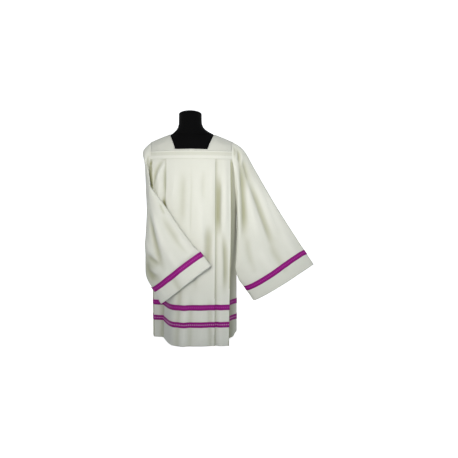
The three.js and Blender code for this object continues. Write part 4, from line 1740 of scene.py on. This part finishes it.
LEFT_SLEEVE_FRONT = (
    Crease(((-193, 842), (-192, 806), (-189, 776)), -8.0, 4, 0.0, (0.6, 0.2)),
    Crease(((-205, 836), (-203, 790), (-200, 730)), 4.0, 5, 0.0, (0.5, 0)),
    Crease(((-214, 850), (-211, 800), (-207, 740)), -3.5, 4),
    Crease(((-199, 384), (-182, 330), (-150, 284)), -11.0, 26, 0.1, (0.4, 0.6)),
    Crease(((-184, 620), (-172, 546), (-152, 460), (-128, 378), (-104, 322)), -9.5, 12, 0.3),
    Crease(((-166, 610), (-150, 550), (-122, 470), (-92, 410)), 6.0, 15),
    Crease(((-134, 640), (-124, 616), (-106, 578)), -6.0, 6, 0.1),
    Crease(((-197, 410), (-162, 386), (-124, 360)), -8.0, 11, -0.2),
    Crease(((-198, 480), (-186, 440), (-160, 410)), 4.6, 12),
    Crease(((-196, 360), (-164, 338), (-132, 330)), 4.0, 10),
    Crease(((-130, 600), (-86, 520), (-34, 450), (26, 396)), -5.0, 14, 0.1, (0, 0.4)),
    Crease(((-60, 500), (-16, 440), (34, 392)), 3.6, 13, 0.0, (0, 0.5)),
    Crease(((-110, 440), (-70, 380), (-30, 320)), 4.6, 15, 0.2, (0, 0.6)),
    Crease(((-90, 330), (-60, 290), (-36, 252)), -4.6, 13, 0.0, (0, 0.8)),
    Crease(((-176, 300), (-140, 270), (-110, 236)), 3.6, 12, 0.0, (0, 0.6)),
)
LEFT_SLEEVE_BACK = (
    Crease(((-206, 800), (-202, 700), (-196, 620)), -2.4, 12),
    Crease(((-196, 560), (-184, 470), (-150, 390)), 1.8, 12),
)


@dataclass
class Sleeve:
    """A wide one-piece sleeve, open at armhole and cuff, with the ribbon round its cuff.

    Attributes:
        hand: Which sleeve.
        sections: Its sections, the cuff's edge last.
        front: Creases on the face that looks forward.
        back: Creases on the face that looks back.
        flat: Width and length of its cut, in metres.
        area: The cut's area in square metres.
        wave: How far the cuff and its ribbon swing along the sleeve.
        sag: How far the middle of their faces stands beyond their ends.
        tilt: How far their top end stands beyond the middle.
        nip: How far the top fold is drawn in at the ribbon.
        bow: How far the faces of the cuff's edge stand beyond its folds.
        around: Mesh steps round the sleeve.
        per_section: Mesh rows from one section to the next.
        ribbon_rows: Mesh rows over the ribbon.
        hem_rows: Mesh rows from the ribbon to the cuff's edge.
        unrest: Height of the cloth's slow waves.
        start_rows: Rows over which creases grow from the armhole.
        shade_rows: Rows by which their painted light and shade start earlier, and rows over which those
            grow.
        face_turn: How quickly a face's creases come in beside the sleeve's two folds.
        swing_rows: Rows over which the cuff's swing grows, and of them those above the ribbon.
        swing_start: Where on the top fold the cuff's wave starts, in radians.
        swing_middle: Height about which that wave runs, as a share of its own.
        hem_share: Share of the swing that the cuff's edge keeps.
        nip_reach: How far round from the top fold the nip reaches, in radians.
        gaps: The sleeve's distance from the body at the shoulder tip and at the underarm.
    """

    hand: Hand
    sections: tuple[SleeveSection, ...]
    front: tuple[Crease, ...]
    back: tuple[Crease, ...]
    flat: tuple[float, float] = (0.62, 0.56)
    area: float = 0.3
    wave: float = 0.0
    sag: float = 0.0
    tilt: float = 0.0
    nip: float = 0.0
    bow: float = 3.0
    around: int = 120
    per_section: int = 8
    ribbon_rows: int = 4
    hem_rows: int = 8
    unrest: float = 0.9
    start_rows: int = 9
    shade_rows: tuple[int, int] = (3, 6)
    face_turn: float = 2.5
    swing_rows: tuple[int, int] = (18, 14)
    swing_start: float = 0.5
    swing_middle: float = 0.3
    hem_share: float = 0.4
    nip_reach: float = 0.6
    gaps: tuple[float, float] = (0.05, 1.8)

    def turns(self) -> np.ndarray:
        """The angles round the sleeve, from the top fold down the front and up the back."""
        return np.linspace(0, 2 * math.pi, self.around + 1)

    def armhole_ring(self) -> np.ndarray:
        """The sleeve's edge at the armhole, just outside the body's.

        Returns:
            Its points at the sleeve's angles.
        """
        turns = self.turns()
        front = turns <= math.pi
        k = np.where(front, turns, 2 * math.pi - turns) / math.pi * ARMHOLE_STEPS
        x, depth, z = Armhole(self.hand).at(k).T
        gap = lerp(*self.gaps, (k / ARMHOLE_STEPS) ** 2)
        open_part = np.clip(np.minimum(k, ARMHOLE_STEPS - k) * 4, 0, 1)  # shut at its two ends
        y = np.where(front, -1, 1) * (depth + SEAM_HALF) * open_part
        return np.stack([self.hand.value * (x + gap), y, z], -1)

    def ring(self, section: SleeveSection, axis: np.ndarray, bow: float = 0.0) -> np.ndarray:
        """A ring through a section's four sides.

        Args:
            section: The section.
            axis: The way along the sleeve.
            bow: How far the faces stand forward along the axis.

        Returns:
            Points at the sleeve's angles.
        """
        sides = (section.top, section.front, section.low, section.back)
        top, front, low, back = (np.array(side, float) for side in sides)
        centre = (top + low) / 2
        c, s = np.cos(self.turns())[:, None], np.sin(self.turns())[:, None]
        upright = np.where(c >= 0, top - centre, low - centre) * np.abs(c)
        sideways = np.where(s >= 0, front - centre, back - centre) * np.abs(s)
        return centre + upright + sideways + axis * bow * np.abs(s)

    def axis(self) -> np.ndarray:
        """The way along the sleeve at its cuff."""
        middle = lambda s: (np.array(s.top, float) + np.array(s.low, float)) / 2
        return unit(middle(self.sections[-1]) - middle(self.sections[-2]))

    def plain(self) -> tuple[ClothGrid, int, int]:
        """Lays out the sleeve before its creases.

        Returns:
            The sleeve, and the rows at the upper and the lower edge of its ribbon.
        """
        axis = self.axis()
        cuff = self.ring(self.sections[-1], axis, self.bow)
        shifted = lambda distance: cuff - axis * distance
        near = CUFF_RIBBON_FROM + RIBBON_WIDTH
        main = [self.armhole_ring(), *(self.ring(s, axis) for s in self.sections[:-1]), shifted(near)]
        rows = []
        for j in range(len(main) - 1):
            a, d = main[max(j - 1, 0)], main[min(j + 2, len(main) - 1)]
            steps = range(self.per_section)
            rows += [catmull(a, main[j], main[j + 1], d, s / self.per_section) for s in steps]
        first = len(rows)
        ribbon = np.linspace(near, CUFF_RIBBON_FROM, self.ribbon_rows + 1)
        rows += [shifted(distance) for distance in ribbon]
        last = len(rows) - 1
        hem = np.linspace(CUFF_RIBBON_FROM, 0, self.hem_rows + 1)[1:]
        rows += [shifted(distance) for distance in hem]
        return ClothGrid(np.array(rows), closed=True), first, last

    def swung(self, grid: ClothGrid, first: int, last: int) -> ClothGrid:
        """Lets the cuff and its ribbon swing along the sleeve and draws in the top fold there.

        Args:
            grid: The sleeve.
            first: The row at the ribbon's upper edge.
            last: The row at its lower edge.

        Returns:
            The moved sleeve.
        """
        turns = self.turns()[None, :]
        row = np.arange(len(grid.points))[:, None]
        over, above = self.swing_rows
        near_cuff = ease_both((row - (first - above)) / over)
        past_ribbon = ease_both((row - last) / self.hem_rows)
        path = self.wave * (np.sin(2 * turns + self.swing_start) - self.swing_middle)
        path = path + self.sag * np.abs(np.sin(turns)) + self.tilt * np.cos(turns)
        along = np.broadcast_to(self.axis(), grid.points.shape)
        grid = grid.moved(along, path * near_cuff * (1 - (1 - self.hem_share) * past_ribbon))
        at_top = np.exp(-((np.minimum(turns, 2 * math.pi - turns) / self.nip_reach) ** 2))
        inward = unit(grid.middle() - grid.points)
        return grid.moved(inward, self.nip * near_cuff * (1 - past_ribbon) * at_top)

    def cloth(self) -> tuple[ClothGrid, int, int]:
        """Lays the creases into the sleeve.

        Returns:
            The sleeve, and the rows at the upper and the lower edge of its ribbon.
        """
        grid, first, last = self.plain()
        x, z = grid.points[..., 0], grid.points[..., 2]
        turns = self.turns()[None, :]
        faces_front, faces_back = (ease_both(way * np.sin(turns) * self.face_turn) for way in (1, -1))
        creased = faces_front * creased_by(self.front, x, z) + faces_back * creased_by(self.back, x, z)
        waves = undulation(x, z, self.unrest, 0.7 * self.hand.value) * (faces_front + faces_back)
        row = np.arange(len(grid.points))[:, None]
        # painted shade in the creases' troughs and painted highlights on their ridges, weaker on the back
        # face
        painted_share = lerp(1, BACK_PAINTED_SHADE, faces_back)
        early, over = self.shade_rows
        grid.folds = painted_share * painted_fold_shade(creased * ease_both((row + early) / over) + WAVES_PAINTED_SHADE * waves)
        grid = grid.moved(grid.outward(), (creased + waves) * ease_both(row / self.start_rows))
        return self.swung(grid, first, last), first, last

    def build(self, cloth: bpy.types.Material, ribbon: bpy.types.Material) -> None:
        """Makes the sleeve and its ribbon.

        Args:
            cloth: Finish of the sleeve.
            ribbon: Finish of the ribbon.
        """
        word = self.hand.word
        grid, first, last = self.cloth()
        Piece(
            f"{word}_sleeve", f"sleeve_{word}", "ivory_cloth", self.flat, Held.HUNG,
            ("front_yoke", "back_yoke"), area=self.area,
        ).make(grid, cloth)
        lifted = grid.moved(grid.outward(), TRIM_LIFT)
        Piece(
            f"{word}_cuff_ribbon", f"cuff_ribbon_{word}", "purple_ribbon", (0.67, RIBBON_FLAT),
            Held.DRAPED, (f"{word}_sleeve",), thickness=TRIM_THICKNESS,
        ).make(lifted.rows(first, last), ribbon)


# ---------------------------------------------------------------- the dress form


TRUNK = (  # height, half width, reach in front and behind, squareness
    (352, 108, 42, 66, 2.3), (362, 120, 52, 76, 2.3), (390, 126, 58, 80, 2.3), (460, 134, 70, 84, 2.3),
    (560, 138, 80, 84, 2.3), (640, 146, 90, 88, 2.3), (730, 162, 103, 96, 2.2), (790, 172, 98, 94, 2.1),
)
FORM_SHOULDERS = (  # heights
    838, 850, 862, 873, 884, 891, 898, 903, 908, 912.5, 917, 921.5, 926, 930, 934, 937, 940, 942.5, 944.3
)
NECK = (  # height, centre, half width, half depth
    (948, 2, 94, 62), (957, -1, 80, 59), (968, -4, 66, 57), (979, -6, 58, 55.5), (994, -7.2, 53, 54.5),
    (1014, -7.5, 52, 54), (1036.8, -7.5, 52, 54), (1038, -7.5, 51.2, 53.2),
)
ROUND = 2  # the squareness of an ellipse


@dataclass
class DressForm:
    """The black form: a torso without limbs, a short neck and its domed cap.

    Attributes:
        around: Points of each ring.
        half_width: Reach of its shoulders.
        chest: Depth of its chest.
        below_cloth: How far its shoulders lie under the cloth's.
        tip_drop: How much further they fall at their tips.
        tip_from: x at which their tips start.
        tip_over: The tips' length.
        neck_centre: x of the middle of the cap.
        cap_half: The cap's half width and half depth.
        cap_foot: Height of the cap's widest ring.
        cap_dome: How far the cap rises above it.
        cap_steps: Rings of the dome.
        cap_turn: How far round the dome the first and the last of them lie, in degrees.
        cap_edge: How far the edge of the cap's underside is drawn in.
        cap_middle: Half the width of the flat middle of the dome.
        width_step: How finely a ring's width is looked for.
    """

    around: int = 96
    half_width: float = 180.0
    chest: float = 90.0
    below_cloth: float = 1.6
    tip_drop: float = 18
    tip_from: float = 150
    tip_over: float = 30
    neck_centre: float = -7.5
    cap_half: tuple[float, float] = (52, 54)
    cap_foot: float = 1038.6
    cap_dome: float = 16.4
    cap_steps: int = 14
    cap_turn: tuple[float, float] = (4, 84)
    cap_edge: float = 0.6
    cap_middle: float = 3
    width_step: float = 0.05

    def oval(
        self, z: float, width: float, front: float, back: float, squareness: float, centre: float = 0.0
    ) -> np.ndarray:
        """A closed ring with its own reach in front and behind.

        Args:
            z: Its height.
            width: Its half width.
            front: Its reach in front.
            back: Its reach behind.
            squareness: 2 for an ellipse, more for fuller corners.
            centre: x of its centre.

        Returns:
            Its points.
        """
        turn = np.linspace(0, 2 * math.pi, self.around + 1)
        bend = lambda v: np.sign(v) * np.abs(v) ** (2 / squareness)
        reach = np.where(np.sin(turn) < 0, front, back)
        x, y = centre + width * bend(np.cos(turn)), reach * bend(np.sin(turn))
        return np.stack([x, y, np.full_like(x, z)], -1)

    def shoulder_ring(self, z: float) -> np.ndarray:
        """A ring of the form's shoulders.

        Args:
            z: Its height.

        Returns:
            Its points.
        """
        tip = lambda x: np.maximum(0, (np.abs(x) - self.tip_from) / self.tip_over)
        top = lambda x: ridge(x) - self.below_cloth - self.tip_drop * tip(x) ** 3
        widths = np.arange(1, self.half_width + 0.01, self.width_step)
        width = float(widths[top(widths) >= z].max())
        turn = np.linspace(0, 2 * math.pi, self.around + 1)
        x = width * np.cos(turn)
        depth = self.chest * np.sqrt(np.maximum(0, 1 - (x / self.half_width) ** 2))
        height = np.clip((z - BAND_BOTTOM_Z) / (top(x) - BAND_BOTTOM_Z), 0, 1)
        y = np.sign(np.sin(turn)) * depth * np.sqrt(1 - height**2)
        return np.stack([x, y, np.full_like(x, z)], -1)

    def torso_rings(self) -> np.ndarray:
        """The torso's rings.

        Returns:
            The rings, from its underside to the flat end of its neck.
        """
        return np.array(
            [self.oval(*row) for row in TRUNK]
            + [self.shoulder_ring(z) for z in FORM_SHOULDERS]
            + [self.oval(z, width, depth, depth, ROUND, centre) for z, centre, width, depth in NECK]
        )

    def cap_ring(self, z: float, width: float, depth: float) -> np.ndarray:
        """A ring of the cap at height z."""
        return self.oval(z, width, depth, depth, ROUND, self.neck_centre)

    def cap_rings(self) -> np.ndarray:
        """The rings of the domed cap on the neck.

        Returns:
            The rings, from its flat underside to the middle of its dome.
        """
        width, depth = self.cap_half
        rings = [self.cap_ring(self.cap_foot - SEAM_GAP, width - self.cap_edge, depth - self.cap_edge)]
        for angle in np.radians(np.linspace(*self.cap_turn, self.cap_steps)):
            z, out = self.cap_foot + self.cap_dome * math.sin(angle), math.cos(angle)
            rings.append(self.cap_ring(z, width * out, depth * out))
        z = self.cap_foot + self.cap_dome + 0.1
        rings.append(self.cap_ring(z, self.cap_middle, self.cap_middle))
        return np.array(rings)

    @staticmethod
    def closed_mesh(rings: np.ndarray) -> bmesh.types.BMesh:
        """A closed skin over rings.

        Args:
            rings: The rings, one above another.

        Returns:
            The skin with its two ends filled, and a sharp edge round each.
        """
        bm = mesh_of(ClothGrid(rings, closed=True))
        rim = [edge for edge in bm.edges if edge.is_boundary]
        bmesh.ops.holes_fill(bm, edges=rim, sides=0)
        bmesh.ops.recalc_face_normals(bm, faces=bm.faces)
        for edge in rim:
            edge.smooth = False
        return bm

    def build(self, jersey: bpy.types.Material) -> None:
        """Makes the form and its cap.

        Args:
            jersey: Their finish.
        """
        for name, node, rings in (
            ("dress_form", "form_torso", self.torso_rings()),
            ("dress_form_neck_cap", "form_neck_cap", self.cap_rings()),
        ):
            declare(finish_mesh(name, self.closed_mesh(rings), jersey), node)
            LOG.info("%s: %d rings", name, len(rings))


# ---------------------------------------------------------------- the studio


@dataclass(frozen=True)
class Lamp:
    """A soft round light with a cone that fades towards its rim.

    Attributes:
        name: The light's name.
        place: Where it stands.
        aim: The point that it looks at.
        softness: Its radius in metres.
        power: Its power in watts.
        spread: The cone's full angle in degrees.
        colour: Its colour.
    """

    name: str
    place: Place
    aim: Place
    softness: float
    power: float
    spread: float
    colour: RGB

    def build(self) -> None:
        """Sets up the light."""
        light = bpy.data.lights.new(self.name, "SPOT")
        light.shadow_soft_size, light.energy, light.color = self.softness, self.power, self.colour
        light.spot_size, light.spot_blend = math.radians(self.spread), 1.0
        lamp = bpy.data.objects.new(self.name, light)
        lamp.location = self.place
        lamp.rotation_euler = (Vector(self.aim) - Vector(self.place)).to_track_quat("-Z", "Y").to_euler()
        bpy.context.scene.collection.objects.link(lamp)


LAMPS = (
    Lamp("key", (-0.1, -3.2, 1.1), (0.16, 0.0, 0.76), 0.42, 345.0, 32.0, (1.0, 0.98, 0.935)),
    Lamp("fill", (1.9, -2.6, 1.2), (0.25, 0.0, 0.5), 0.7, 44.0, 50.0, (0.93, 0.97, 1.0)),
    Lamp("low", (-0.5, -2.9, 0.35), (0.12, 0.0, 0.12), 0.5, 46.0, 26.0, (0.93, 0.97, 1.0)),
    Lamp("behind", (0.9, 3.2, 1.3), (0.1, 0.0, 0.6), 0.6, 230.0, 36.0, (1.0, 0.99, 0.96)),
)


@dataclass
class Studio:
    """The floor, the light and the camera.

    Attributes:
        floor_size: Half the floor's side in metres.
        floor_flat: Radius of its flat part in metres.
        floor_curve: The way over which it curves up from there, in metres.
        floor_height: How high it gets, in metres.
        floor_squares: Mesh steps along its side.
        lens: Focal length in millimetres.
        sensor: Width of the picture on the sensor in millimetres.
        eye: The camera's place in metres.
        pitch: How far the camera looks down, in degrees.
        world: Strength of the room's light.
        world_colour: Its colour.
    """

    floor_size: float = 9.0
    floor_flat: float = 4.5
    floor_curve: float = 4.5
    floor_height: float = 8.0
    floor_squares: int = 64
    lens: float = 42.68
    sensor: float = 36.0
    eye: Place = (0.169, -2.5, 0.625)
    pitch: float = 2.53
    world: float = 0.36
    world_colour: RGB = (0.90, 0.95, 1.0)

    def floor(self) -> None:
        """A floor that curves up all round, far from the stand."""
        bm = bmesh.new()
        squares = self.floor_squares
        bmesh.ops.create_grid(bm, x_segments=squares, y_segments=squares, size=self.floor_size)
        for vert in bm.verts:
            rise = min(max(0.0, vert.co.length - self.floor_flat) / self.floor_curve, 1.0)
            vert.co.z = self.floor_height * (1 - math.cos(rise * math.pi / 2))
        for face in bm.faces:
            face.smooth = True
        piece = finish_mesh("floor", bm, PaleFloor().material())
        piece.visible_diffuse = False  # the glow is for the eye and leaves the cloth's own shading alone

    def surroundings(self) -> None:
        """An even, almost white room."""
        world = bpy.data.worlds.new("studio")
        world.use_nodes = True
        background = world.node_tree.nodes["Background"]
        background.inputs["Color"].default_value = (*self.world_colour, 1.0)
        background.inputs["Strength"].default_value = self.world
        bpy.context.scene.world = world

    def camera(self) -> None:
        """The camera, level but for a slight look down."""
        data = bpy.data.cameras.new("camera")
        data.lens, data.sensor_width = self.lens, self.sensor
        camera = bpy.data.objects.new("camera", data)
        camera.location = self.eye
        camera.rotation_euler = (math.radians(90 - self.pitch), 0.0, 0.0)
        bpy.context.scene.collection.objects.link(camera)
        bpy.context.scene.camera = camera

    def build(self) -> None:
        """Sets up the studio."""
        bpy.context.scene.view_settings.view_transform = "Standard"
        self.camera()
        self.floor()
        self.surroundings()
        for lamp in LAMPS:
            lamp.build()


# ---------------------------------------------------------------- assembly


def main() -> None:
    """Builds every piece in order."""
    logging.basicConfig(level=logging.INFO, format="%(message)s")
    Studio().build()
    cloth = IvoryCloth("ivory_body_cloth", stitch_rows=(0.011,)).material()
    sleeve_cloth = IvoryCloth("ivory_sleeve_cloth", stitch_rows=(0.012,)).material()
    # the yoke's cloth is a darker copy: painted shade where the shoulders turn up away from the light
    yoke_cloth = IvoryCloth("ivory_yoke_cloth", stitch_rows=(0.0092,), shade=0.88).material()
    band_cloth = IvoryCloth("ivory_band_cloth", stitch_rows=(0.0024, 0.0232, 0.0362)).material()
    ribbon = WovenRibbon().material()
    flecked_ribbon = WovenRibbon("magenta_ribbon_flecked", light=(0.66, 0.27, 0.54)).material()
    tape = WhiteTape().material()
    jersey = BlackJersey().material()
    steel = BlackSteel().material()

    DressForm().build(jersey)
    for node in ("stand_post", "stand_base"):
        for slot in bpy.data.objects[node].material_slots:
            slot.material = steel
        LOG.info("%s: painted", node)
    for side, neck_z in NECK_Z.items():
        Yoke(side, neck_z).build(yoke_cloth, tape, band_cloth)
    BodyPanel(Side.FRONT, FRONT_RIGHT, FRONT_LEFT, FRONT_CREASES).build(cloth, ribbon, flecked_ribbon)
    BodyPanel(Side.BACK, BACK_RIGHT, BACK_LEFT, BACK_CREASES).build(cloth, ribbon, flecked_ribbon)
    Sleeve(
        Hand.RIGHT, RIGHT_SECTIONS, RIGHT_SLEEVE_FRONT, RIGHT_SLEEVE_BACK,
        wave=-8.0, sag=-9.0, tilt=2.0,
    ).build(sleeve_cloth, ribbon)
    Sleeve(
        Hand.LEFT, LEFT_SECTIONS, LEFT_SLEEVE_FRONT, LEFT_SLEEVE_BACK,
        wave=4.0, sag=4.5, tilt=-8.0, nip=10.0,
    ).build(sleeve_cloth, ribbon)

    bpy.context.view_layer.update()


if __name__ == "__main__":
    main()
